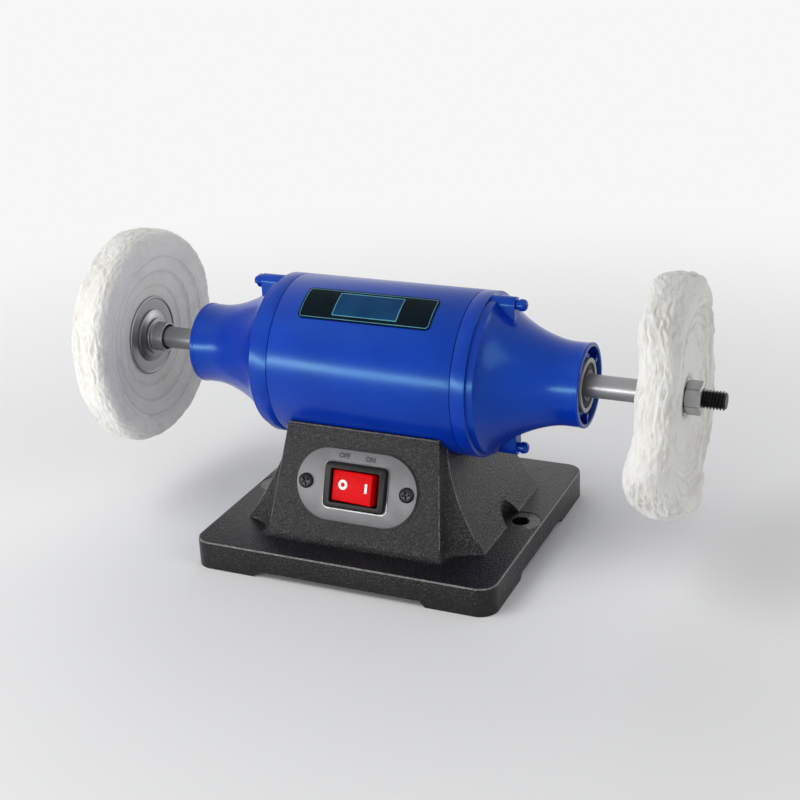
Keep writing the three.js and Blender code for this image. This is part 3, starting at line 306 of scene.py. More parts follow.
def enamel(name):
    """Glossy blue paint with a faint orange peel, a little dust, and thin rubbed spots."""
    finish = Finish(name, IOR=1.5, Specular_IOR_Level=0.42, Specular_Tint=(0.4, 0.92, 1.0, 1.0))
    peel = finish.noise(520.0, 2.0, 0.5)
    cloudy = finish.noise(26.0, 3.0, 0.55)
    specks = finish.noise(1900.0, 1.0, 0.5).over(0.72, 0.78)
    colour = finish.blend(cloudy.over(0.3, 0.75), rgb(0, 42, 150), rgb(0, 48, 161))
    colour = finish.blend(specks * 0.06, colour, rgb(40, 90, 190))
    roughness = cloudy * 0.06 + 0.2 + specks * 0.15
    return finish.paint(colour, roughness, peel, depth=0.00006, strength=0.35)


BLUE = enamel("blue_enamel")
SHELL_RADIUS = 54.2
SHELL_INSIDE = 52.6
SHELL_HALF = 64.0
SEAM = 0.25

shell = lathe([(SEAM - SHELL_HALF, SHELL_INSIDE), (SEAM - SHELL_HALF, SHELL_RADIUS),
               (SHELL_HALF - SEAM, SHELL_RADIUS), (SHELL_HALF - SEAM, SHELL_INSIDE)], steps=128)
soften(shell, 0.35)
finished("motor_tube", shell, BLUE, "base", ["motor_shell"])


# End bells
# Cast aluminium covers, painted with the shell. Each narrows from the shell's width to a nose that
# holds the shaft's ball bearing between three ribs, and has a lug at top and bottom for the tie bolts.

SKIRT_END = 73.6
BAND_END = 78.1
BAND_RADIUS = 51.7
NOSE_RADIUS = 27.0
NOSE_END = 137.8
HUB_RADIUS = 20.6
NOSE_BORE = 24.8
SEAT_RADIUS = 17.6
LUG_START, LUG_END, LUG_HALF = 74.0, 90.0, 5.0
RIB_START, RIB_END, RIB_IN, RIB_OUT, RIB_HALF = 120.0, 136.6, 19.6, 25.6, 1.4
SPIGOT_START, SPIGOT_RADIUS, SPIGOT_INSIDE = 57.0, 52.45, 49.2
SEAT_START, SEAT_SHOULDER = 126.1, 14.6
BELL_WALL = 3.0
TIE_OUT = 49.0


def mixed(low, high, share):
    """The value at a share of the way from low to high."""
    return low + (high - low) * share


def curve(share, *points):
    """The point at a share of the way along a curve that starts and ends at the outer points and is
    pulled by those between them."""
    while len(points) > 1:
        points = [tuple(mixed(a, b, share) for a, b in zip(first, second))
                  for first, second in zip(points, points[1:])]
    return points[0]


FLARE = [curve(s / 28, (BAND_END, BAND_RADIUS), (82.0, 41.8), (108.9, NOSE_RADIUS),
               (127.0, NOSE_RADIUS)) for s in range(29)]


def joined(first, second, operation="UNION"):
    """Joins, cuts or meets two closed bmeshes in millimetres, and returns the first one changed."""
    holders = []
    for mesh in (first, second):
        data = bpy.data.meshes.new("tool")
        mesh.to_mesh(data)
        mesh.free()
        holder = bpy.data.objects.new("tool", data)
        bpy.context.scene.collection.objects.link(holder)
        holders.append(holder)
    modifier = holders[0].modifiers.new("join", "BOOLEAN")
    modifier.operation = operation
    modifier.solver = "EXACT"
    modifier.object = holders[1]
    bpy.context.view_layer.update()
    result = bmesh.new()
    result.from_object(holders[0], bpy.context.evaluated_depsgraph_get())
    for holder in holders:
        bpy.data.objects.remove(holder)
    return result


def cuboid(low, high):
    """A box between its two outermost corners."""
    mesh = bmesh.new()
    bmesh.ops.create_cube(mesh, size=1.0)
    size = [b - a for a, b in zip(low, high)]
    middle = [(a + b) / 2 for a, b in zip(low, high)]
    bmesh.ops.scale(mesh, vec=size, verts=mesh.verts)
    bmesh.ops.translate(mesh, vec=middle, verts=mesh.verts)
    return mesh


def rod(start, end, radius, across=0.0, up=0.0, steps=32):
    """A round bar along X."""
    mesh = bmesh.new()
    turn = Matrix.Translation(((start + end) / 2, across, up)) @ Matrix.Rotation(math.pi / 2, 4, "Y")
    bmesh.ops.create_cone(mesh, cap_ends=True, segments=steps, radius1=radius, radius2=radius,
                          depth=end - start, matrix=turn)
    return mesh


def end_bell(side):
    """The bell from its spigot in the shell to the rim of its nose, with its lugs and ribs."""
    inner = [(along - BELL_WALL, radius - BELL_WALL) for along, radius in FLARE[4:22:3]]
    profile = [(SPIGOT_START, SPIGOT_RADIUS), (64.1, SPIGOT_RADIUS), (64.1, SHELL_RADIUS),
               (SKIRT_END, SHELL_RADIUS), (SKIRT_END + 0.3, BAND_RADIUS), *FLARE,
               (NOSE_END - 2.4, NOSE_RADIUS), (NOSE_END - 1.9, NOSE_RADIUS + 0.4),
               (NOSE_END, NOSE_RADIUS + 0.4), (NOSE_END, NOSE_BORE), (121.0, NOSE_BORE),
               (121.0, HUB_RADIUS), (134.0, HUB_RADIUS), (134.0, SEAT_RADIUS),
               (SEAT_START, SEAT_RADIUS), (SEAT_START, SEAT_SHOULDER), (118.0, SEAT_SHOULDER),
               (118.0, 23.8), *reversed(inner), (75.0, SPIGOT_INSIDE), (SPIGOT_START, SPIGOT_INSIDE)]
    bell = lathe(profile, side)
    soften(bell, 0.4, keep=lambda edge: abs(edge.verts[0].co.x) > SHELL_HALF + 0.05)
    for height_side in (1, -1):
        height = AXIS + height_side * TIE_OUT
        low, high = sorted((height, AXIS + height_side * (TIE_OUT - 13.0)))
        start, end = sorted((side * LUG_START, side * LUG_END))
        lug = joined(cuboid((start, -LUG_HALF, low), (end, LUG_HALF, high)),
                     rod(start, end, LUG_HALF, up=height))
        soften(lug, 0.7, keep=lambda edge: abs(edge.verts[0].co.x) > LUG_END - 1
               and abs(edge.verts[1].co.x) > LUG_END - 1)
        bell = joined(bell, lug)
    for turn in range(3):
        rib = cuboid((RIB_START, -RIB_HALF, -RIB_OUT), (RIB_END, RIB_HALF, -RIB_IN))
        bmesh.ops.rotate(rib, matrix=Matrix.Rotation(turn * 2 * math.pi / 3, 3, "X"), verts=rib.verts)
        bmesh.ops.translate(rib, vec=(0.0, 0.0, AXIS), verts=rib.verts)
        if side < 0:
            bmesh.ops.scale(rib, vec=(-1.0, 1.0, 1.0), verts=rib.verts)
            bmesh.ops.recalc_face_normals(rib, faces=rib.faces)
        bell = joined(bell, rib)
    return bell


for side, side_name in SIDES:
    finished(f"{side_name}_bell", end_bell(side), BLUE, "base", [f"{side_name}_end_bell"])


# Base casting
# A hollow iron casting in black crackle paint. A foot plate stands on its four corners, and a
# flared pedestal on it ends in the saddle that carries the motor. Two holes take the bench bolts.

PLATE_X, PLATE_Y, PLATE_TOP = 105.7, 96.7, 19.4
PLATE_CORNER, PLATE_EDGE, PLATE_WALL = 12.0, 1.2, 7.0
FOOT_GAP_X, FOOT_GAP_Y, FOOT_GAP = 57.0, 40.0, 4.0
WEB_BOTTOM = 13.0
SLAB_TOP = 92.0
SLAB_FOOT_X, SLAB_TOP_X = 61.8, 53.7
SLAB_FOOT_Y, SLAB_TOP_Y = 72.5, 47.6
RIDGE_FOOT_X, RIDGE_TOP_X = 85.5, 54.2
RIDGE_FOOT_Y, RIDGE_TOP_Y = 54.2, 34.5
SLAB_FILLET = 4.5
CAST_WALL = 5.5
CAST_ROUND = 1.4
TOP_ROUND = 1.0
CRADLE_RADIUS = 54.5
SADDLE_RADIUS = 60.5
BOLT_X = 91.0
BOLT_GUARD, SPOT_FACE, BOLT_HOLE = 17.5, 13.5, 6.0
PAD_X, PAD_Y, PAD_RADIUS = 88.7, 79.7, 14.0
INLET_X, INLET_Z = -38.0, 38.0
INLET_BOSS, INLET_BORE = 14.5, 7.3
INLET_IN, INLET_OUT = 56.5, 77.0
INLET_WALL, INLET_NUT = 65.0, 11.5
OPENING_X, OPENING_Y = 18.9, 12.7
PLATE_SCREW_X, SCREW_HOLE = 35.8, 2.3
SLAB_DEEP = -9.0
OVER = 3.0


def rounded(half_x, half_y, radius, steps=8):
    """The outline of a rounded rectangle around the origin."""
    points = []
    for quarter, (side_x, side_y) in enumerate(((1, 1), (-1, 1), (-1, -1), (1, -1))):
        for step in range(steps + 1):
            angle = (quarter + step / steps) * math.pi / 2
            points.append((side_x * (half_x - radius) + radius * math.cos(angle),
                           side_y * (half_y - radius) + radius * math.sin(angle)))
    return points


def skinned(mesh, rows, closed=False):
    """Bridges rings of as many corners each. The two end rings are filled, or joined if closed."""
    rings = [[mesh.edges.new(ends) for ends in zip(row, row[1:] + row[:1])] for row in rows]
    for low, high in zip(rings, rings[1:] + rings[:closed]):
        bmesh.ops.bridge_loops(mesh, edges=low + high)
    if not closed:
        bmesh.ops.edgeloop_fill(mesh, edges=rings[0] + rings[-1])
    bmesh.ops.recalc_face_normals(mesh, faces=mesh.faces)
    return mesh


def loft(levels, closed=False):
    """A body through outlines with equal counts of corners, given as (outline, height)."""
    mesh = bmesh.new()
    rows = [[mesh.verts.new((x, y, height)) for x, y in outline] for outline, height in levels]
    return skinned(mesh, rows, closed)


def upright(low, high, radius, x=0.0, y=0.0, steps=48):
    """A round bar along Z."""
    mesh = bmesh.new()
    bmesh.ops.create_cone(mesh, cap_ends=True, segments=steps, radius1=radius, radius2=radius,
                          depth=high - low, matrix=Matrix.Translation((x, y, (low + high) / 2)))
    return mesh


def clipped(value):
    """The value kept between 0 and 1."""
    return min(max(value, 0.0), 1.0)


def pedestal_corners(height, inset=0.0):
    """The slab's corner and the side ridge's corner of one quarter of the pedestal at a height."""
    rise = clipped((height - PLATE_TOP) / (SLAB_TOP - PLATE_TOP))
    left = SLAB_FILLET * clipped(1 - (height - PLATE_TOP) / SLAB_FILLET)
    fillet = SLAB_FILLET - math.sqrt(SLAB_FILLET ** 2 - left ** 2)
    slab = (mixed(SLAB_FOOT_X, SLAB_TOP_X, rise) + fillet - inset,
            mixed(SLAB_FOOT_Y, SLAB_TOP_Y, rise) + fillet - inset)
    ridge = (RIDGE_TOP_X + (RIDGE_FOOT_X - RIDGE_TOP_X) * (1 - rise) ** 1.55 - inset,
             RIDGE_FOOT_Y - (RIDGE_FOOT_Y - RIDGE_TOP_Y) * rise ** 1.7 - inset)
    return slab, ridge


def pedestal_outline(height, inset=0.0):
    """Slabs front and back, flared side walls, and a hollow bend with rounded ends between them."""
    slab, ridge = pedestal_corners(height, inset)
    bend = (slab[0] + 0.12 * (ridge[0] - slab[0]), ridge[1] + 0.1 * (slab[1] - ridge[1]))
    length = math.dist(ridge, bend) + math.dist(bend, slab)
    first = CAST_ROUND / length
    last = 1 - first
    ridge_end, slab_end = curve(first, ridge, bend, slab), curve(last, ridge, bend, slab)
    ridge_start, slab_stop = (ridge[0], ridge[1] - CAST_ROUND), (slab[0] - CAST_ROUND, slab[1])
    quarter = [curve(s / 4, ridge_start, ridge, ridge_end) for s in range(4)]
    quarter += [curve(mixed(first, last, s / 14), ridge, bend, slab) for s in range(14)]
    quarter += [curve(s / 4, slab_end, slab, slab_stop) for s in range(5)]
    back = quarter + [(-x, y) for x, y in reversed(quarter)]
    return back + [(-x, -y) for x, y in back]


def pedestal(inset, start, top_round):
    """The pedestal from a height up to its top, whose edge is rounded, with its walls moved inwards."""
    foot, top = PLATE_TOP + SLAB_FILLET, SLAB_TOP - top_round
    levels = [(start, inset)]
    levels += [(PLATE_TOP + SLAB_FILLET * (s / 5) ** 2, inset) for s in range(6)]
    levels += [(mixed(foot, top, s / 18), inset) for s in range(1, 19)]
    if top_round:
        levels += [(top + top_round * math.sin(angle), inset + top_round * (1 - math.cos(angle)))
                   for angle in (math.pi / 6, math.pi / 3, math.pi / 2)]
    return loft([(pedestal_outline(height, inwards), height) for height, inwards in levels])


def tunnel(radius, half_length=120.0):
    """A long round bar on the motor's axis, for the cuts around the motor."""
    return rod(-half_length, half_length, radius, up=AXIS, steps=128)


def relief(half_length):
    """The low gap between two feet, under the edges of the plate."""
    foot = half_length + FOOT_GAP + OVER
    section = [(-foot, -OVER), (foot, -OVER), (half_length, FOOT_GAP), (-half_length, FOOT_GAP)]
    return loft([(section, along) for along in (-PLATE_X - OVER, PLATE_X + OVER)])


SLAB_LEAN = math.atan2(SLAB_FOOT_Y - SLAB_TOP_Y, SLAB_TOP - PLATE_TOP)
SWITCH_DOWN = (SLAB_TOP - PLATE_TOP) / math.cos(SLAB_LEAN) / 2 - 1.4
SWITCH_FRAME = (Matrix.Translation((0.0, -SLAB_TOP_Y - SWITCH_DOWN * math.sin(SLAB_LEAN),
                                    SLAB_TOP - SWITCH_DOWN * math.cos(SLAB_LEAN)))
                @ Matrix.Rotation(math.pi / 2 - SLAB_LEAN, 4, "X"))


def moved(mesh, matrix):
    """Moves the mesh by a matrix and returns it."""
    bmesh.ops.transform(mesh, matrix=matrix, verts=mesh.verts)
    return mesh


def lying_y(low, high, radius, x, z, steps=48):
    """A round bar along Y."""
    mesh = upright(low, high, radius, steps=steps)
    return moved(mesh, Matrix.Translation((x, 0.0, z)) @ Matrix.Rotation(-math.pi / 2, 4, "X"))


def switch_opening(low):
    """The cut for the switch, from a height in the switch's frame up to over the plate."""
    return cuboid((-OPENING_X, -OPENING_Y, low), (OPENING_X, OPENING_Y, OVER))


def screw_hole(side, low):
    """The cut for a screw of the switch plate, from a height up to over the plate."""
    return upright(low, OVER, SCREW_HOLE, side * PLATE_SCREW_X, steps=24)


def base_casting():
    """Plate, pedestal and the boss of the inlet, less the hollows, openings and bolt holes."""
    plate_levels = [(rounded(PLATE_X, PLATE_Y, PLATE_CORNER), 0.0)]
    for step in range(5):
        angle = step / 4 * math.pi / 2
        inset = PLATE_EDGE * (1 - math.cos(angle))
        plate_levels.append((rounded(PLATE_X - inset, PLATE_Y - inset, PLATE_CORNER - inset),
                             PLATE_TOP - PLATE_EDGE + PLATE_EDGE * math.sin(angle)))
    body = joined(loft(plate_levels), pedestal(0.0, WEB_BOTTOM, TOP_ROUND))

    hollow = loft([(rounded(PLATE_X - PLATE_WALL, PLATE_Y - PLATE_WALL, 8.5, 5), height)
                   for height in (-OVER, WEB_BOTTOM)])
    cavity = joined(pedestal(CAST_WALL, WEB_BOTTOM - OVER, 0.0), tunnel(SADDLE_RADIUS), "DIFFERENCE")
    for side in (-1, 1):
        hollow = joined(hollow, upright(-OVER * 3, PLATE_TOP, BOLT_GUARD, side * BOLT_X), "DIFFERENCE")
        cavity = joined(cavity, upright(0.0, SLAB_TOP, BOLT_GUARD, side * BOLT_X), "DIFFERENCE")
        for depth in (-1, 1):
            pad = upright(-OVER * 3, PLATE_TOP, PAD_RADIUS, side * PAD_X, depth * PAD_Y)
            hollow = joined(hollow, pad, "DIFFERENCE")
    body = joined(body, hollow, "DIFFERENCE")
    body = joined(body, cavity, "DIFFERENCE")
    body = joined(body, soften(lying_y(INLET_IN, INLET_OUT, INLET_BOSS, INLET_X, INLET_Z), 1.0, 3,
                               keep=lambda edge: edge.verts[0].co.y > INLET_OUT - 1))

    turn = Matrix.Rotation(math.pi / 2, 4, "X")
    cuts = [tunnel(CRADLE_RADIUS),
            lying_y(50.0, 90.0, INLET_BORE, INLET_X, INLET_Z),
            lying_y(0.0, INLET_WALL, INLET_NUT, INLET_X, INLET_Z),
            moved(switch_opening(SLAB_DEEP), SWITCH_FRAME),
            moved(relief(FOOT_GAP_X), turn),
            moved(relief(FOOT_GAP_Y), Matrix.Rotation(math.pi / 2, 4, "Z") @ turn)]
    for side in (-1, 1):
        cuts.append(upright(PLATE_TOP - 0.4, SLAB_TOP, SPOT_FACE, side * BOLT_X, steps=64))
        cuts.append(upright(-OVER, PLATE_TOP + OVER, BOLT_HOLE, side * BOLT_X))
        cuts.append(moved(screw_hole(side, SLAB_DEEP), SWITCH_FRAME))
    for cut in cuts:
        body = joined(body, cut, "DIFFERENCE")
    return body


def marked_edges(mesh):
    """Marks how bare the paint is rubbed: most on the rounded edges of the plate and the pedestal."""
    wear = mesh.verts.layers.float.new("wear")
    for vert in mesh.verts:
        x, y, z = abs(vert.co.x), abs(vert.co.y), vert.co.z
        value = 0.0
        if PLATE_TOP - PLATE_EDGE + 0.02 < z < PLATE_TOP - 0.02:
            value = 1.0 if max(x - PLATE_X, y - PLATE_Y) > -PLATE_CORNER else 0.0
        elif PLATE_TOP + SLAB_FILLET < z:
            slab, ridge = pedestal_corners(z)
            near = min(math.dist(slab, (x, y)), math.dist(ridge, (x, y)))
            value = clipped((1.1 - near) / 0.5)
            if SLAB_TOP - TOP_ROUND + 0.01 < z < SLAB_TOP - 0.01:
                value = 1.0
        vert[wear] = value
    return mesh


def crackle_paint():
    """Black paint that dried in fine hard grains, their tops partly painted sparkle, rubbed thin along
    the edges.
    """
    finish = Finish("black_crackle_paint", IOR=1.5, Specular_IOR_Level=0.32)
    grains = finish.add("ShaderNodeTexVoronoi", {"feature": "SMOOTH_F1"},
                        {"Vector": finish.place, "Scale": 700.0})
    fine = finish.noise(1700.0, 2.0, 0.6)
    cloudy = finish.noise(30.0, 4.0, 0.6)
    patchy = finish.noise(420.0, 3.0, 0.65)
    wear_and_highlight = finish.attribute("wear")
    height = (1.0 - grains) * 0.7 + fine * 0.4
    # grain tops painted lighter: partly their own tone, partly painted sparkle; coarse makes both
    # weaker on the plate
    coarse = finish.up().over(0.017, 0.024) * 0.65 + 0.35
    grain_tops_and_sparkle = height.over(0.6, 0.8) * coarse
    colour = finish.blend(cloudy.over(0.3, 0.7), rgb(11, 11, 12), rgb(18, 18, 19))
    colour = finish.blend(grain_tops_and_sparkle * 0.6, colour, rgb(74, 74, 76))
    bare = (wear_and_highlight * (patchy * 0.9 + 0.2)).over(0.25, 0.85)
    colour = finish.blend(bare * 0.75, colour, rgb(140, 139, 137))
    roughness = cloudy * 0.1 + 0.24
    return finish.paint(colour, roughness, height * coarse, depth=0.001, strength=1.0)


finished("base_body", marked_edges(base_casting()), crackle_paint(), "base",
         ["base_casting"])


# Switch
# A rocker switch in an oval sheet metal plate on the front slab. A thin black sheet under the plate
# stands out round its edge as a painted shadow. Two cross-recess screws hold the plate, and a lip
# is turned up around its opening, with a painted highlight along its lower edge. The red rocker has
# O and I marked on it, and the plate says OFF and ON.

SHEET_X, SHEET_Y = 42.75, 23.8
BEZEL_X, BEZEL_Y = 21.8, 14.8
HOUSING_X, HOUSING_Y, HOUSING_DEEP = 18.6, 12.4, -13.6
WELL_X, WELL_Y, WELL_FLOOR = 17.0, 10.8, -12.0
PIVOT_DEPTH = 3.0
ROCKER_HALF_X, ROCKER_HALF_Y = 15.3, 10.15
ROCKER_TILT = math.radians(-10)
ROCKER_FRAME = (SWITCH_FRAME @ Matrix.Translation((0.0, 0.0, -PIVOT_DEPTH))
                @ Matrix.Rotation(ROCKER_TILT, 4, "Y"))


def satin_sheet():
    """Grey sheet metal with a fine brushed line along its length and small scuffs."""
    finish = Finish("satin_grey_sheet", Metallic=0.55)
    lines = finish.noise(60.0, 3.0, 0.6, vector=finish.stretched(1.0, 22.0, 22.0))
    cloudy = finish.noise(45.0, 3.0, 0.5)
    colour = finish.blend(lines, rgb(92, 92, 94), rgb(108, 108, 110))
    colour = finish.blend(cloudy.over(0.45, 0.8) * 0.25, colour, rgb(86, 86, 88))
    return finish.paint(colour, lines * 0.15 + 0.38, lines, depth=0.00004, strength=0.4)


def moulded(name, low, high, roughness, grain=1400.0):
    """Moulded plastic with a fine even grain and faint flow clouds."""
    finish = Finish(name, IOR=1.49, Specular_IOR_Level=0.2)
    spark = finish.noise(grain, 2.0, 0.6)
    cloudy = finish.noise(55.0, 3.0, 0.5)
    colour = finish.blend(cloudy.over(0.3, 0.7), low, high)
    return finish.paint(colour, cloudy * 0.1 + roughness, spark, depth=0.00006, strength=0.35)


def plated(name, low, high, roughness, metallic=1.0, grain=900.0):
    """Plated steel with cloudy plating, small pits, short handling marks and painted shade on nut
    corners.
    """
    finish = Finish(name, Metallic=metallic)
    cloudy = finish.noise(80.0, 4.0, 0.6)
    pits = finish.noise(grain, 2.0, 0.5).over(0.66, 0.74)
    marks = finish.noise(150.0, 2.0, 0.5, 0.6, vector=finish.stretched(6.0, 1.0, 1.0)).over(0.62, 0.7)
    colour = finish.blend(cloudy.over(0.3, 0.7), low, high)
    colour = finish.blend(pits * 0.4, colour, rgb(60, 58, 56))
    # painted shade: dark lines on a nut's corners, between its flats
    painted_corner_shade = finish.attribute("painted_corner_shade")
    colour = finish.blend(painted_corner_shade * 0.8, colour, rgb(40, 39, 38))
    roughness = cloudy * 0.18 + roughness + marks * 0.12
    return finish.paint(colour, roughness, cloudy * 0.4 - pits * 0.6, depth=0.0001, strength=0.4)


def lip_painted_highlight():
    """Grey painted sheet metal with a painted highlight, near white, along its lower edge."""
    finish = Finish("lip_painted_highlight", Metallic=0.3)
    up = finish.up()
    scuffs = finish.noise(300.0, 3.0, 0.6)
    # painted highlight: near white below 47 mm over the bench, gone above 53 mm, broken up by the
    # scuffs
    wear_and_highlight = up.over(0.053, 0.047) * (scuffs * 0.5 + 0.7)
    colour = finish.blend(wear_and_highlight, rgb(112, 112, 114), rgb(236, 236, 236))
    return finish.paint(colour, scuffs * 0.1 + 0.3, scuffs, depth=0.00003, strength=0.3)


BLACK_PLASTIC = moulded("black_plastic", rgb(16, 16, 16), rgb(24, 24, 23), 0.34)
DARK_STEEL = plated("blackened_steel", rgb(38, 38, 40), rgb(58, 58, 60), 0.26)


def pan_head(radius, height, shank, length, turn):
    """A domed screw head with a cross recess along Z, seated at 0, with its shank below."""
    dome = [(radius * math.cos(angle) ** 0.6, height * (0.3 + 0.7 * math.sin(angle)))
            for angle in (s / 10 * math.pi / 2 for s in range(10))]
    profile = [(radius, 0.0), *dome, (0.0, height), (0.0, -length), (shank, -length), (shank, 0.0)]
    mesh = bmesh.new()
    corners = [mesh.verts.new((r, 0.0, z)) for r, z in profile]
    spun(mesh, corners, (0.0, 0.0, 1.0), (0.0, 0.0, 0.0), 40, closed=True)
    reach, half = radius * 0.62, radius * 0.13
    for arm in range(2):
        slot = loft([([(-wide, -long), (wide, -long), (wide, long), (-wide, long)], height * share)
                     for wide, long, share in ((half * 0.5, reach * 0.3, 0.25), (half, reach, 1.1))])
        slot = moved(slot, Matrix.Rotation(turn + arm * math.pi / 2, 4, "Z"))
        mesh = joined(mesh, slot, "DIFFERENCE")
    return mesh


def oval(half_x, half_y):
    """An outline with half circles at its ends."""
    return rounded(half_x, half_y, half_y - 0.01, 20)


# A thin black sheet, a little wider than the plate, put under it as a painted shadow round its edge.
shadow_sheet = loft([(oval(SHEET_X + 0.75, SHEET_Y + 0.7), height) for height in (0.03, 0.28)])
shadow_sheet = joined(shadow_sheet, switch_opening(-1.0), "DIFFERENCE")
finished("plate_shadow_sheet", moved(shadow_sheet, SWITCH_FRAME), BLACK_PLASTIC, "base")

plate = loft([(oval(SHEET_X - inset, SHEET_Y - inset), height)
              for inset, height in ((0.0, 0.3), (0.0, 1.15), (0.12, 1.38), (0.4, 1.5))])
plate = joined(plate, switch_opening(-1.0), "DIFFERENCE")
for side in (-1, 1):
    plate = joined(plate, screw_hole(side, -1.0), "DIFFERENCE")
finished("oval_switch_plate", moved(plate, SWITCH_FRAME), satin_sheet(), "base",
         ["switch_plate"])

for side, side_name, turn in ((-1, "left", 0.5), (1, "right", 0.2)):
    screw = pan_head(5.0, 2.2, 2.0, 9.0, turn)
    screw = moved(screw, SWITCH_FRAME @ Matrix.Translation((side * PLATE_SCREW_X, 0.0, 1.8)))
    finished(f"{side_name}_plate_screw", screw, DARK_STEEL, "base",
             [f"switch_plate_screw_{side_name}"])

lip = loft([(rounded(BEZEL_X + grow, BEZEL_Y + grow, 2.9 + grow, 6), height)
            for grow, height in ((0.1, 1.45), (0.1, 1.6), (0.85, 2.15), (1.1, 2.1), (1.25, 1.45))],
           closed=True)
finished("opening_lip", moved(lip, SWITCH_FRAME), lip_painted_highlight(), "base", sharp=50.0)

bezel = loft([(rounded(BEZEL_X - inset, BEZEL_Y - inset, 3.0 - inset, 6), height)
              for inset, height in ((0.3, 1.6), (0.0, 1.9), (0.0, 3.9),
                                    (0.15, 4.4), (0.5, 4.8), (1.0, 5.0))])
bezel = joined(bezel, cuboid((-HOUSING_X, -HOUSING_Y, HOUSING_DEEP), (HOUSING_X, HOUSING_Y, 4.0)))
well = loft([(rounded(WELL_X + grow, WELL_Y + grow, 0.8 + grow, 4), height)
             for grow, height in ((0.0, WELL_FLOOR), (0.0, 4.4), (0.35, 4.8), (0.8, 5.6))])
bezel = joined(bezel, well, "DIFFERENCE")
finished("switch_bezel", moved(bezel, SWITCH_FRAME), BLACK_PLASTIC, "base",
         ["switch_housing"])


def rocker_height(along):
    """The height of the rocker's hollow face over its pivot."""
    return PIVOT_DEPTH + mixed(4.4, 5.4, (along / ROCKER_HALF_X) ** 2)


def red_plastic():
    """Red moulded plastic with a satin skin."""
    finish = Finish("red_plastic", IOR=1.45, Specular_IOR_Level=0.08)
    cloudy = finish.noise(60.0, 3.0, 0.5)
    fine = finish.noise(1600.0, 2.0, 0.6)
    colour = finish.blend(cloudy.over(0.3, 0.7), rgb(198, 1, 9), rgb(210, 5, 14))
    return finish.paint(colour, cloudy * 0.1 + 0.36, fine, depth=0.00004, strength=0.3)


face = [mixed(ROCKER_HALF_X, -ROCKER_HALF_X, s / 16) for s in range(17)]
profile = [(along, rocker_height(along)) for along in face]
profile += [(-ROCKER_HALF_X, -1.0), (-9.0, -4.0), (9.0, -4.0), (ROCKER_HALF_X, -1.0)]
rocker = loft([(profile, y) for y in (-ROCKER_HALF_Y, ROCKER_HALF_Y)])
soften(rocker, 0.7, 3, sharp=40.0)
rocker = moved(rocker, Matrix.Rotation(math.pi / 2, 4, "X"))
rocker = joined(rocker, lying_y(-11.7, 11.7, 1.5, 0.0, 0.0, steps=24))
finished("red_rocker", moved(rocker, ROCKER_FRAME), red_plastic(), "rocker",
         ["switch_rocker"])


def printed(outline, hole=None, low=-0.3, high=0.1, height_at=lambda along: 0.0):
    """A thin mark between an outline and a hole of as many points, laid on a surface."""
    mesh = bmesh.new()
    loops = [(outline, high), (outline, low)] + ([(hole, low), (hole, high)] if hole else [])
    rows = [[mesh.verts.new((x, y, height_at(x) + offset)) for x, y in loop] for loop, offset in loops]
    return skinned(mesh, rows, closed=bool(hole))


def circle(radius, x, y, steps=32):
    """The outline of a circle around a point."""
    return [(x + radius * math.cos(angle), y + radius * math.sin(angle))
            for angle in (s / steps * 2 * math.pi for s in range(steps))]


def ink(name, low, high):
    """Printed paint that covers a little unevenly."""
    finish = Finish(name)
    cover = finish.noise(700.0, 3.0, 0.6)
    colour = finish.blend(cover, low, high)
    return finish.paint(colour, cover * 0.2 + 0.4, cover, depth=0.00002, strength=0.3)


WHITE_INK = ink("white_ink", rgb(228, 226, 224), rgb(244, 243, 241))
BLACK_INK = ink("black_ink", rgb(12, 12, 13), rgb(24, 24, 25))
zero = printed(circle(3.3, -7.4, 0.9), circle(1.55, -7.4, 0.9), height_at=rocker_height)
bar = printed([(10.8 + x, 0.9 + y) for x, y in rounded(1.0, 3.1, 0.3, 3)], height_at=rocker_height)
finished("off_mark", moved(zero, ROCKER_FRAME), WHITE_INK, "rocker")
finished("on_mark", moved(bar, ROCKER_FRAME), WHITE_INK, "rocker")

for word, along, up in (("OFF", -9.8, 19.6), ("ON", 8.6, 19.2)):
    letters = bpy.data.curves.new("letters", "FONT")
    letters.body = word
    letters.size = 4.4
    letters.offset = 0.3
    letters.align_x = "CENTER"
    letters.align_y = "CENTER"
    letters.extrude = 0.06
    letters.resolution_u = 6
    holder = bpy.data.objects.new("letters", letters)
    mesh = bmesh.new()
    mesh.from_mesh(holder.to_mesh())
    holder.to_mesh_clear()
    bpy.data.objects.remove(holder)
    bmesh.ops.remove_doubles(mesh, verts=mesh.verts, dist=0.0001)
    place = SWITCH_FRAME @ Matrix.Translation((along, up, 1.53))
    finished(f"word_{word.lower()}", moved(mesh, place), BLACK_INK, "base")


# Name plate
# A thin black lacquered plate bent round the top of the motor, with a pale line round a bare
# blue panel in its middle. It is glued on.

NAME_MIDDLE = math.radians(60.3)
NAME_X, NAME_HALF_X, NAME_HALF_Y = -1.0, 46.0, 12.75
PANEL_X, PANEL_UP = -0.8, 0.3
BEND_STEP = 0.6


def wrapped(outline, hole, low, high):
    """A thin plate between an outline and a hole, bent round the motor from one radius to another.
    Y of the outline runs up, and the plate is cut across so that it can bend."""
    mesh = printed(outline, hole, low - SHELL_RADIUS, high - SHELL_RADIUS)
    for step in range(-24, 25):
        bmesh.ops.bisect_plane(mesh, geom=mesh.verts[:] + mesh.edges[:] + mesh.faces[:],
                               plane_co=(0.0, step * BEND_STEP, 0.0), plane_no=(0.0, 1.0, 0.0))
    for vert in mesh.verts:
        x, along, rise = vert.co
        angle = NAME_MIDDLE + math.asin(along / SHELL_RADIUS)
        radius = SHELL_RADIUS + rise
        vert.co = (x, -radius * math.cos(angle), AXIS + radius * math.sin(angle))
    return mesh


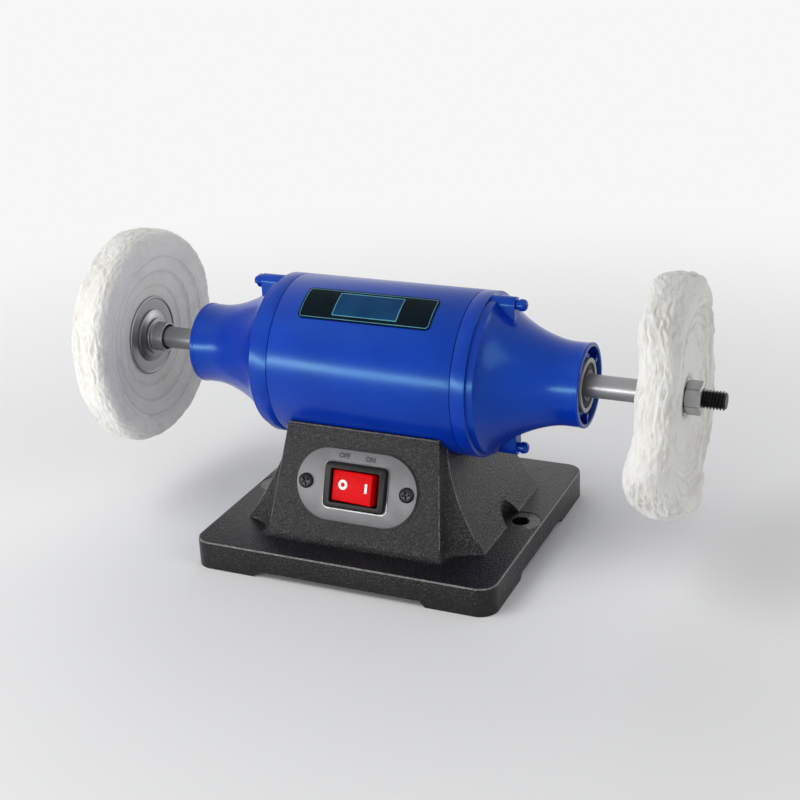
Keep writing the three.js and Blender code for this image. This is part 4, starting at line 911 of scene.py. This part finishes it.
def lacquer(name, low, high):
    """Smooth lacquer with fine rubbed hairlines."""
    finish = Finish(name, IOR=1.5, Specular_IOR_Level=0.06)
    hairs = finish.noise(120.0, 4.0, 0.7, vector=finish.stretched(1.0, 14.0, 14.0))
    cloudy = finish.noise(40.0, 2.0, 0.5)
    colour = finish.blend(cloudy.over(0.3, 0.7), low, high)
    return finish.paint(colour, hairs * 0.16 + 0.24, hairs, depth=0.00003, strength=0.3)


def name_outline(inset, radius):
    """The outline of the plate, or a line within it."""
    outline = rounded(NAME_HALF_X - inset, NAME_HALF_Y - inset, radius, 6)
    return [(NAME_X + x, y) for x, y in outline]


def panel_outline(half_x, half_y, radius):
    """The outline of the panel, or of the line around it."""
    return [(PANEL_X + x, PANEL_UP + y) for x, y in rounded(half_x, half_y, radius, 4)]


NAME_BLACK = lacquer("black_lacquer", rgb(0, 13, 19), rgb(2, 19, 27))
PALE_LINE = lacquer("pale_blue_line", rgb(70, 130, 150), rgb(96, 156, 174))
PANEL_BLUE = lacquer("blue_panel", rgb(12, 50, 86), rgb(18, 62, 100))
panel = panel_outline(22.0, 9.0, 0.4)
for name, outline, hole, low, high, material, replaces in (
        ("name_plate_body", name_outline(0.0, 3.0), None, 54.3, 55.0, NAME_BLACK, ["name_plate"]),
        ("name_plate_line", name_outline(0.9, 2.3), name_outline(1.3, 1.9), 54.8, 55.06, PALE_LINE, []),
        ("name_panel_line", panel_outline(22.6, 9.6, 0.8), panel, 54.8, 55.1, PALE_LINE, []),
        ("name_panel", panel, None, 54.8, 55.05, PANEL_BLUE, [])):
    finished(name, wrapped(outline, hole, low, high), material, "base", replaces)


# Tie bolts
# Two long bolts pass through the lugs of both bells and pull them onto the shell. Their domed heads
# are on the right and their nuts on the left, and they were painted with the motor.

TIE_SEAT, TIE_RADIUS = 90.1, 2.5
TIE_TURN = math.radians(2)
TIE_ROWS = ((1, "top"), (-1, "bottom"))

for height_side, row in TIE_ROWS:
    height = AXIS + height_side * TIE_OUT
    dome = [(94.0 + 3.1 * math.sin(angle), 3.9 * math.cos(angle) ** 0.7)
            for angle in (s / 6 * math.pi / 2 for s in range(6))]
    bolt = lathe([(-96.6, 0.0), (-96.6, 2.1), (-96.2, TIE_RADIUS), (TIE_SEAT, TIE_RADIUS),
                  (TIE_SEAT, 3.2), (92.1, 3.2), (92.1, 3.7), (92.3, 3.9), *dome, (97.1, 0.0)],
                 closed=False, steps=28, axis_height=height)
    finished(f"tie_bolt_{row}_rod", bolt, BLUE, "base", [f"tie_bolt_{row}"])


def hexagon(start, end, flats, bore, chamfer, up=AXIS, turn=0.0):
    """A hexagon nut along X with turned chamfers on both faces."""
    corner = flats / math.sqrt(3)
    prism = moved(rod(start, end, corner, steps=6), Matrix.Rotation(turn, 4, "X"))
    soften(prism, flats * 0.025)
    cone = lathe([(start, 0.0), (start, flats / 2 - 0.2), (start + chamfer, corner + 0.15),
                  (end - chamfer, corner + 0.15), (end, flats / 2 - 0.2), (end, 0.0)],
                 closed=False, steps=72, axis_height=0.0)
    nut = joined(prism, cone, "INTERSECT")
    hole = lathe([(start - OVER, 0.0), (start - OVER, bore + OVER), (start + 0.5, bore),
                  (end - 0.5, bore), (end + OVER, bore + OVER), (end + OVER, 0.0)],
                 closed=False, steps=48, axis_height=0.0)
    nut = joined(nut, hole, "DIFFERENCE")
    # the corners between the flats, for the painted shade there
    painted_corner_shade = nut.verts.layers.float.new("painted_corner_shade")
    for vert in nut.verts:
        vert[painted_corner_shade] = 1.0 if math.hypot(vert.co.y, vert.co.z) > corner * 0.98 else 0.0
    return moved(nut, Matrix.Translation((0.0, 0.0, up)))


for height_side, row in TIE_ROWS:
    nut = hexagon(-94.1, -TIE_SEAT, 8.0, 2.65, 0.6, AXIS + height_side * TIE_OUT, TIE_TURN)
    finished(f"tie_nut_{row}_hexagon", nut, BLUE, "base", [f"tie_nut_{row}"])


# Shaft and bearings
# A ground steel shaft runs in a sealed ball bearing in each bell's nose. Past a shoulder each end
# is a coarse thread that carries the wheel and its nut.

CORE_SEAT = 9.0
SHAFT_RADIUS = 7.5
SHOULDER = 182.4
SHAFT_END = 224.0
THREAD_RADIUS = 6.0
THREAD_DEPTH = 1.15
THREAD_PITCH = 2.0
THREAD_STEPS, SHAFT_ROUND = 230, 56
RACE_START, RACE_END = 126.2, 137.2


def ground_steel(name, low, high, roughness, metallic=1.0):
    """Bright steel with fine rings from turning and grinding."""
    finish = Finish(name, Metallic=metallic)
    rings = finish.noise(1500.0, 2.0, 0.6, vector=finish.stretched(1.0, 0.01, 0.01))
    cloudy = finish.noise(50.0, 3.0, 0.6)
    colour = finish.blend(rings, low, high)
    colour = finish.blend(cloudy.over(0.55, 0.85) * 0.2, colour, rgb(130, 126, 120))
    roughness = rings * 0.1 + cloudy * 0.08 + roughness
    return finish.paint(colour, roughness, rings, depth=0.00002, strength=0.3)


def thread_radius(along, angle):
    """The radius of the shaft at an angle around it, past its shoulder."""
    phase = (along / THREAD_PITCH + angle / (2 * math.pi)) % 1.0
    groove = clipped(1.35 - abs(phase - 0.5) * 3.4)
    groove *= clipped((along - SHOULDER - 1.0) / 2.0)
    chamfer = THREAD_RADIUS - max(0.0, along - (SHAFT_END - 1.2))
    return min(THREAD_RADIUS - THREAD_DEPTH * groove, chamfer)


def shaft_mesh():
    """The shaft turned from end to end, with a thread cut past each shoulder."""
    half = [(0.0, CORE_SEAT), (60.0, CORE_SEAT), (SEAT_START - 0.1, CORE_SEAT),
            (SEAT_START, SHAFT_RADIUS), (150.0, SHAFT_RADIUS),
            (SHOULDER - 0.5, SHAFT_RADIUS), (SHOULDER - 0.1, SHAFT_RADIUS - 0.4)]
    half += [(mixed(SHOULDER, SHAFT_END, s / THREAD_STEPS), THREAD_RADIUS)
             for s in range(THREAD_STEPS + 1)]
    half.append((SHAFT_END, 0.0))
    mesh = lathe([(-along, radius) for along, radius in reversed(half[1:])] + half,
                 closed=False, steps=SHAFT_ROUND)
    for vert in mesh.verts:
        x, y, z = vert.co.x, vert.co.y, vert.co.z - AXIS
        if abs(x) > SHOULDER:
            angle = math.atan2(z, y) if x > 0 else -math.atan2(z, y)
            share = thread_radius(abs(x), angle) / THREAD_RADIUS
            vert.co = (x, y * share, AXIS + z * share)
    return mesh


BRIGHT = ground_steel("ground_steel", rgb(142, 142, 143), rgb(160, 160, 162), 0.27, 0.95)
# a darker copy of the ground steel for the threads past the shoulders: painted shade in the thread
SHADED_THREAD = ground_steel("thread_painted_shade", rgb(32, 32, 32), rgb(50, 50, 50), 0.3)
# a darker copy of the ground steel for the inner races: painted shade deep in the nose
SHADED_RACE_STEEL = ground_steel("race_painted_shade", rgb(70, 70, 72), rgb(90, 90, 92), 0.34)
shaft_bar = finished("shaft_bar", shaft_mesh(), BRIGHT, "rotor", ["shaft"])
shaft_bar.data.materials.append(SHADED_THREAD)
for face in shaft_bar.data.polygons:
    face.material_index = int(abs(face.center.x) > SHOULDER * MM)


def seal_rubber():
    """Black rubber with a faint pressed ring pattern and dust."""
    finish = Finish("seal_rubber")
    dust = finish.noise(240.0, 4.0, 0.7)
    colour = finish.blend(dust.over(0.5, 0.85), rgb(12, 12, 12), rgb(40, 39, 38))
    return finish.paint(colour, dust * 0.2 + 0.55, dust, depth=0.00005, strength=0.4)


RUBBER = seal_rubber()
for side, side_name in SIDES:
    outer, inner = (soften(lathe([(RACE_START, low), (RACE_START, high), (RACE_END, high),
                                  (RACE_END, low)], side), 0.3)
                    for low, high in ((14.6, 17.5), (7.6, 10.2)))
    seal = lathe([(135.6, 10.5), (135.6, 14.5), (136.6, 14.5), (136.6, 13.9), (136.3, 13.6),
                  (136.3, 12.0), (136.6, 11.7), (136.6, 10.5)], side)
    for name, mesh, material, body, slot, node in (
            ("outer_race", outer, BRIGHT, "base", "bright_steel", "bearing_outer_ring"),
            ("inner_race", inner, SHADED_RACE_STEEL, "rotor", "bright_steel", "bearing_inner_ring"),
            ("seal", seal, RUBBER, "base", "black_rubber", "bearing_seal")):
        finished(f"{side_name}_{name}", mesh, material, body, [f"{side_name}_{node}"])


# Wheel clamps
# On each end, from the motor outwards: a lipped collar over the shaft's shoulder, a domed washer, a
# flat flange washer, the wheel, a plain washer and a hexagon nut that pulls them all together.

CLAMP_BORE = 6.15
COLLAR_RADIUS = 10.25
FLANGE_RADIUS = 28.0
NUT_START, NUT_END, NUT_FLATS = 199.6, 209.6, 19.0
NUT_TURN = math.radians(12)
TURNED = ground_steel("turned_steel", rgb(138, 138, 140), rgb(158, 158, 159), 0.27, 0.9)
ZINC = plated("zinc_steel", rgb(154, 154, 155), rgb(180, 180, 181), 0.22, 0.85)

for side, side_name in SIDES:
    collar = lathe([(171.0, 8.75), (171.0, COLLAR_RADIUS), (179.6, COLLAR_RADIUS), (179.6, 12.8),
                    (181.2, 12.8), (181.2, COLLAR_RADIUS), (184.2, COLLAR_RADIUS),
                    (184.2, CLAMP_BORE), (182.5, CLAMP_BORE), (182.5, 8.75)], side)
    domed = lathe([(181.3, 10.55), (181.5, 12.6), (182.0, 15.3), (183.2, 18.5), (184.2, 18.5),
                   (183.0, 15.3), (182.5, 12.6), (182.3, 10.55)], side)
    flange = lathe([(184.3, CLAMP_BORE), (184.3, 25.9), (183.7, 26.7), (183.7, 27.4),
                    (184.3, FLANGE_RADIUS), (185.5, FLANGE_RADIUS), (185.5, CLAMP_BORE)],
                   side, steps=128)
    washer = lathe([(198.1, CLAMP_BORE), (198.1, 12.0), (199.5, 12.0), (199.5, CLAMP_BORE)], side)
    nut = hexagon(*sorted((side * NUT_START, side * NUT_END)), NUT_FLATS, CLAMP_BORE, 1.1,
                  turn=NUT_TURN)
    for name, mesh, material, slot, node in (
            ("collar", soften(collar, 0.45, 3), TURNED, "bright_steel", "flange_collar"),
            ("dome", soften(domed, 0.2), TURNED, "bright_steel", "domed_washer"),
            ("flange", soften(flange, 0.2, 2, sharp=40.0), TURNED, "bright_steel", "flange_washer"),
            ("plain_washer", soften(washer, 0.3), ZINC, "dull_steel", "outer_washer"),
            ("hexagon", nut, ZINC, "dull_steel", "wheel_nut")):
        finished(f"{side_name}_{name}", mesh, material, "rotor", [f"{side_name}_{node}"])


# Cloth wheels
# Many discs of unbleached cotton, sewn together in rings and clamped at the hub. Outside the last
# ring the discs stand loose, so the rim swells, sways along the shaft and shows its frayed edges.

WHEEL_MIDDLE = 191.8
WHEEL_HUB_HALF = 6.2
CLAMP_RADIUS = 6.2
WASHER_RADIUS, WASHER_PUFF = 12.2, 1.9
RIM_HEIGHT = 15.0
STITCH_RINGS = (36.0, 46.5, 56.5)
STITCH_LENGTH = 1.6
LOOSE_START, LOOSE_WIDTH = 36.0, 16.0
WHEEL_SECTIONS, FACE_STEPS, RIM_STEPS = 340, 84, 84
SWAY, HALF_WIDTH, SWELL = 7.0, 13.6, 1.6
RIGHT_SWAY = (-0.6, -0.5, -0.1, -0.5, -0.2, 0.9, 0.9, -0.4, 0.1, 1.0, 0.0, 0.0)
RIGHT_SWELL = (-1.0, -0.9, -0.3, 0.6, 0.0, -1.0, -1.0, 1.0, 0.9, 0.8, -0.4, -0.3)
LEFT_SWAY = (-0.1, -0.4, -0.4, 0.0, 0.0, 0.0, -0.3, -0.5, -0.2, -0.1, -0.2, -0.1)
LEFT_SWELL = (0.0, 0.2, 0.2, 0.1, 0.0, 0.0, -0.2, -0.3, 0.0, 0.1, 0.1, 0.0)


def around(values, angle):
    """A value between those that lie at even steps around, at an angle from the first of them."""
    place = angle / (2 * math.pi) * len(values) % len(values)
    first = int(place)
    part = place - first
    return mixed(values[first], values[(first + 1) % len(values)], part * part * (3 - 2 * part))


def unbleached_cotton():
    """Soft white cotton with a close weave, loose lint, faint yellow and grey clouds and painted shade
    in its folds.
    """
    finish = Finish("unbleached_cotton", Roughness=0.95, Specular_IOR_Level=0.2,
                    Sheen_Weight=0.25, Sheen_Roughness=0.6)
    weave = finish.noise(2600.0, 2.0, 0.6)
    lint = finish.noise(620.0, 4.0, 0.7, 0.8)
    cloudy = finish.noise(34.0, 3.0, 0.6)
    painted_crease_shade = finish.attribute("painted_crease_shade")
    rim = finish.attribute("rim")
    plies = finish.noise(1.0, 4.0, 0.7, 1.2, vector=finish.stretched(1000.0, 190.0, 190.0))
    colour = finish.blend(cloudy.over(0.35, 0.7), rgb(235, 234, 230), rgb(228, 226, 221))
    colour = finish.blend(lint.over(0.5, 0.8) * 0.5, colour, rgb(243, 243, 240))
    # painted shade: darker in creases, along stitches and between the plies, as the mesh marks them
    colour = finish.blend(painted_crease_shade * 0.5, colour, rgb(176, 170, 158))
    # painted shade in the low places between the plies on the rim
    colour = finish.blend(rim * plies.over(0.45, 0.3) * 0.3, colour, rgb(184, 179, 171))
    relief = lint * 0.55 + weave * 0.25 + plies * rim * 1.6
    return finish.paint(colour, None, relief, depth=0.0006, strength=0.85)


COTTON = unbleached_cotton()


def swell(*place):
    """A smooth random height between -1 and 1 at a place in space."""
    return noise.noise(Vector(place))


def wheel_section(half, rim_base, square):
    """The corners of a cut through one side of the wheel, from the bore over the motor's side, the
    rim and the outer side, given as (radius, along, share of the rim, side of the face)."""
    face = []
    for step in range(FACE_STEPS + 1):
        r = mixed(CLAMP_RADIUS, rim_base, step / FACE_STEPS)
        spread = clipped((r - FLANGE_RADIUS) / (rim_base - FLANGE_RADIUS))
        face.append((r, mixed(WHEEL_HUB_HALF, half, spread ** 1.25)))
    rim = []
    for step in range(1, RIM_STEPS):
        part = step / RIM_STEPS * math.pi
        rim.append((rim_base + RIM_HEIGHT * math.sin(part) ** square,
                    -half * math.copysign(abs(math.cos(part)) ** square, math.cos(part)),
                    math.sin(part) ** 0.5, 0))
    return ([(r, -thick, 0.0, -1) for r, thick in face] + rim
            + [(r, thick, 0.0, 1) for r, thick in reversed(face)])


def cloth_wheel(side, radius, sways, swells, seed, square, pleats, rough):
    """A grid rolled up around the bore, with every corner moved for the creases of the cloth.
    The closer square is to 0, the flatter the rim and the faces are. pleats is the height of the
    folds that run around the outer side, and rough scales the layers of cloth edges on the rim.
    One layer keeps how deep a corner lies in a crease, between plies or on a stitch, for the painted
    shade there, and rim how far it is on the rim."""
    sections = []
    for turn in range(WHEEL_SECTIONS):
        angle = 2 * math.pi * turn / WHEEL_SECTIONS
        half = HALF_WIDTH + SWELL * around(swells, angle)
        bulge = 0.012 * swell(math.cos(angle) * 2.2, math.sin(angle) * 2.2, seed)
        section = wheel_section(half, radius * (1.0 + bulge) - RIM_HEIGHT, square)
        sections.append((angle, SWAY * around(sways, angle), half, section))
    corners = len(section)
    mesh = bmesh.new()
    # how deep each corner lies in a crease, for the painted shade in the cloth's colour
    painted_crease_shade = mesh.verts.layers.float.new("painted_crease_shade")
    on_rim = mesh.verts.layers.float.new("rim")
    bmesh.ops.create_grid(mesh, x_segments=WHEEL_SECTIONS, y_segments=corners, size=1.0)
    for corner in mesh.verts:
        turn = round((corner.co.x + 1.0) / 2 * WHEEL_SECTIONS) % WHEEL_SECTIONS
        place = round((corner.co.y + 1.0) / 2 * corners) % corners
        angle, shift, half, section = sections[turn]
        out_y, out_z = math.cos(angle), math.sin(angle)
        r, along, rim, face_side = section[place]
        reach = max(r - FLANGE_RADIUS, 0.0) / (radius - FLANGE_RADIUS)
        soft = clipped((r - FLANGE_RADIUS - 1.0) / 9.0)
        y, z = out_y * r, out_z * r
        sweep = (2.2 * swell(y * 0.045, z * 0.045, seed * 0.315)
                 + 1.2 * swell(y * 0.13, z * 0.13, seed * 0.91))
        calm = clipped(0.5 + 1.6 * swell(y * 0.03, z * 0.03, seed * 0.21 + along * 0.05))
        calm = 0.25 + 0.75 * calm
        ply = swell(along * 0.5 + sweep, y * 0.06, z * 0.06 + seed)
        edge = 1.0 - abs(swell(along * 0.8 + sweep * 1.5, y * 0.1, z * 0.1 + seed * 3.0)) * 2.0
        lumps = swell(along * 0.09, y * 0.06, z * 0.06 + seed)
        lint = noise.fractal(Vector((along * 0.5, y * 0.28, z * 0.28)), 0.9, 2.0, 4)
        rise = rim * (rough * calm * (1.1 * ply + 0.7 * max(edge, -0.4)) - 0.6)
        rise += (1.6 * rough * lumps + (0.3 + 0.45 * rim) * lint) * soft
        # painted shade in the low places between the plies of the rim
        hollow = max(0.0, -(1.3 * ply + 1.1 * edge - 0.8)) * rim * calm
        if face_side:
            sunk = 1.0 if face_side < 0 else 0.5
            groove = sum(math.exp(-((r - ring) / 1.5) ** 2) for ring in STITCH_RINGS)
            stitch = sum(math.exp(-((r - ring) / 0.6) ** 2) for ring in STITCH_RINGS)
            dash = max(0.0, math.sin(angle * r / STITCH_LENGTH))
            puff = swell(out_y * 9.0, out_z * 9.0, r * 0.08 + seed * 5)
            crease = swell(out_y * 26.0, out_z * 26.0, r * 0.05 + seed)
            rise += soft * (0.8 * puff + 0.5 * crease * reach)
            rise += soft * sunk * (0.4 * stitch * dash - 1.3 * groove)
            # painted shade along the stitch lines
            hollow += 0.8 * sunk * stitch * soft
        if face_side > 0:
            along += WASHER_PUFF * clipped((r - WASHER_RADIUS) / 2.5) * clipped((34.0 - r) / 20.0)
            fold = swell(r * 0.2 + sweep * 0.15, out_y * 1.3, out_z * 1.3 + seed)
            loose = clipped((r - LOOSE_START) / LOOSE_WIDTH)
            crease = max(0.0, 1.0 - 5.0 * abs(fold)) * soft * loose
            rise += pleats * (soft * fold - 0.6 * crease)
            # painted shade in the folds of the outer side
            hollow += 0.25 * pleats * crease
        if face_side:
            x = along + shift * reach ** 2 + math.copysign(rise, along)
        else:
            x = along + shift * reach ** 2 + rise * 0.55 * along / half
            r += rise * (0.35 + 0.65 * rim)
        corner.co = (side * (WHEEL_MIDDLE + x), out_y * r, AXIS + out_z * r)
        corner[painted_crease_shade] = min(hollow, 1.0)
        corner[on_rim] = rim * rough
    bmesh.ops.remove_doubles(mesh, verts=mesh.verts, dist=MM * MM)
    mesh.normal_update()
    bmesh.ops.recalc_face_normals(mesh, faces=mesh.faces)
    return mesh


for side, side_name, radius, sways, swells, seed, square, pleats, rough in (
        (-1, "left", 75.8, LEFT_SWAY, LEFT_SWELL, 3.7, 0.62, 0.5, 0.5),
        (1, "right", 77.2, RIGHT_SWAY, RIGHT_SWELL, 8.2, 0.85, 2.2, 0.8)):
    wheel = cloth_wheel(side, radius, sways, swells, seed, square, pleats, rough)
    wheel = finished(f"{side_name}_wheel", wheel, COTTON, "rotor",
                     [f"{side_name}_cloth_wheel"], sharp=80.0)


# Cable gland
# A black plastic gland screwed into the round boss at the back. Its grooved head is where the
# mains lead goes in.

gland = lathe([(59.0, 4.0), (59.0, 7.0), (77.1, 7.0), (77.1, 9.5), (83.4, 9.5), (84.6, 9.0),
               (85.1, 8.0), (85.1, 5.0), (84.3, 4.0)], steps=60, axis_height=0.0)
gland = moved(gland, Matrix.Translation((INLET_X, 0.0, INLET_Z)) @ Matrix.Rotation(math.pi / 2, 4, "Z"))
for x, z in circle(9.9, INLET_X, INLET_Z, steps=12):
    gland = joined(gland, lying_y(78.6, 86.0, 0.9, x, z, 20), "DIFFERENCE")
finished("gland_body", gland, BLACK_PLASTIC, "base", ["cable_gland"])


# Underside
# A zinc-plated sheet closes the wiring room from below. Four dark screws hold it to the casting.

COVER_SCREW_X, COVER_SCREW_Y, COVER_BOTTOM = 71.0, 69.0, 11.3


def dress(material, *names):
    """Gives a material to CAD nodes that are shown as they are."""
    for name in names:
        nodes[name].data.materials.clear()
        nodes[name].data.materials.append(material)


for side, side_name in SIDES:
    for depth, depth_name in ((-1, "front"), (1, "back")):
        screw = pan_head(3.8, 2.0, 2.0, 5.9, 0.3 + side + depth * 0.4)
        place = Matrix.Translation((side * COVER_SCREW_X, depth * COVER_SCREW_Y, COVER_BOTTOM))
        screw = moved(screw, place @ Matrix.Rotation(math.pi, 4, "X"))
        finished(f"cover_screw_head_{depth_name}_{side_name}", screw, DARK_STEEL, "base",
                 [f"cover_screw_{depth_name}_{side_name}"])
dress(ZINC, "bottom_cover", "capacitor_clip", "left_saddle_nut", "right_saddle_nut")
dress(DARK_STEEL, "left_saddle_screw", "right_saddle_screw")


# Pieces inside
# The capacitor and terminal block on the cover, the switch's blades, the gland's nut, and the
# stator, windings and rotor in the motor. They show only where the housings are open.

PALE_CASE = moulded("pale_case", rgb(206, 205, 199), rgb(218, 217, 212), 0.42)
dress(PALE_CASE, "start_capacitor", "terminal_block")
dress(BLACK_PLASTIC, "cable_gland_nut")
dress(BRIGHT, "left_bearing_cage", "right_bearing_cage")
dress(plated("plain_brass", rgb(186, 152, 84), rgb(206, 174, 104), 0.3),
      *(f"switch_terminal_{row}_{side}" for row in ("upper", "lower") for side in ("left", "right")))


def sheet_stack():
    """The edges of stacked thin steel sheets, with a little varnish."""
    finish = Finish("sheet_stack", Metallic=0.8)
    layers = finish.noise(1400.0, 1.0, 0.5, vector=finish.stretched(1.0, 0.03, 0.03))
    stain = finish.noise(70.0, 4.0, 0.6)
    colour = finish.blend(layers, rgb(96, 96, 98), rgb(138, 138, 140))
    colour = finish.blend(stain.over(0.5, 0.75) * 0.5, colour, rgb(84, 66, 48))
    return finish.paint(colour, stain * 0.2 + 0.4, layers, depth=0.0002, strength=0.6)


def wound_wire():
    """Lacquered copper wire wound around the axis, strand beside strand."""
    finish = Finish("wound_wire", Metallic=0.85)
    strands = finish.noise(820.0, 2.0, 0.5, 0.4, vector=finish.stretched(1.0, 0.12, 0.12))
    varnish = finish.noise(60.0, 3.0, 0.6)
    colour = finish.blend(strands.over(0.35, 0.65), rgb(104, 54, 26), rgb(186, 106, 58))
    colour = finish.blend(varnish.over(0.5, 0.8) * 0.4, colour, rgb(92, 50, 24))
    return finish.paint(colour, varnish * 0.2 + 0.28, strands, depth=0.0005, strength=0.8)


def cast_aluminium():
    """Raw die-cast aluminium with a fine skin grain."""
    finish = Finish("cast_aluminium", Metallic=0.9)
    skin = finish.noise(500.0, 3.0, 0.6)
    cloudy = finish.noise(50.0, 3.0, 0.6)
    colour = finish.blend(cloudy.over(0.3, 0.7), rgb(150, 151, 153), rgb(172, 173, 175))
    return finish.paint(colour, cloudy * 0.15 + 0.4, skin, depth=0.00015, strength=0.5)


dress(sheet_stack(), "stator_core", "rotor_core")
dress(wound_wire(), "left_winding_head", "right_winding_head")
dress(cast_aluminium(), "left_rotor_end_ring", "right_rotor_end_ring")
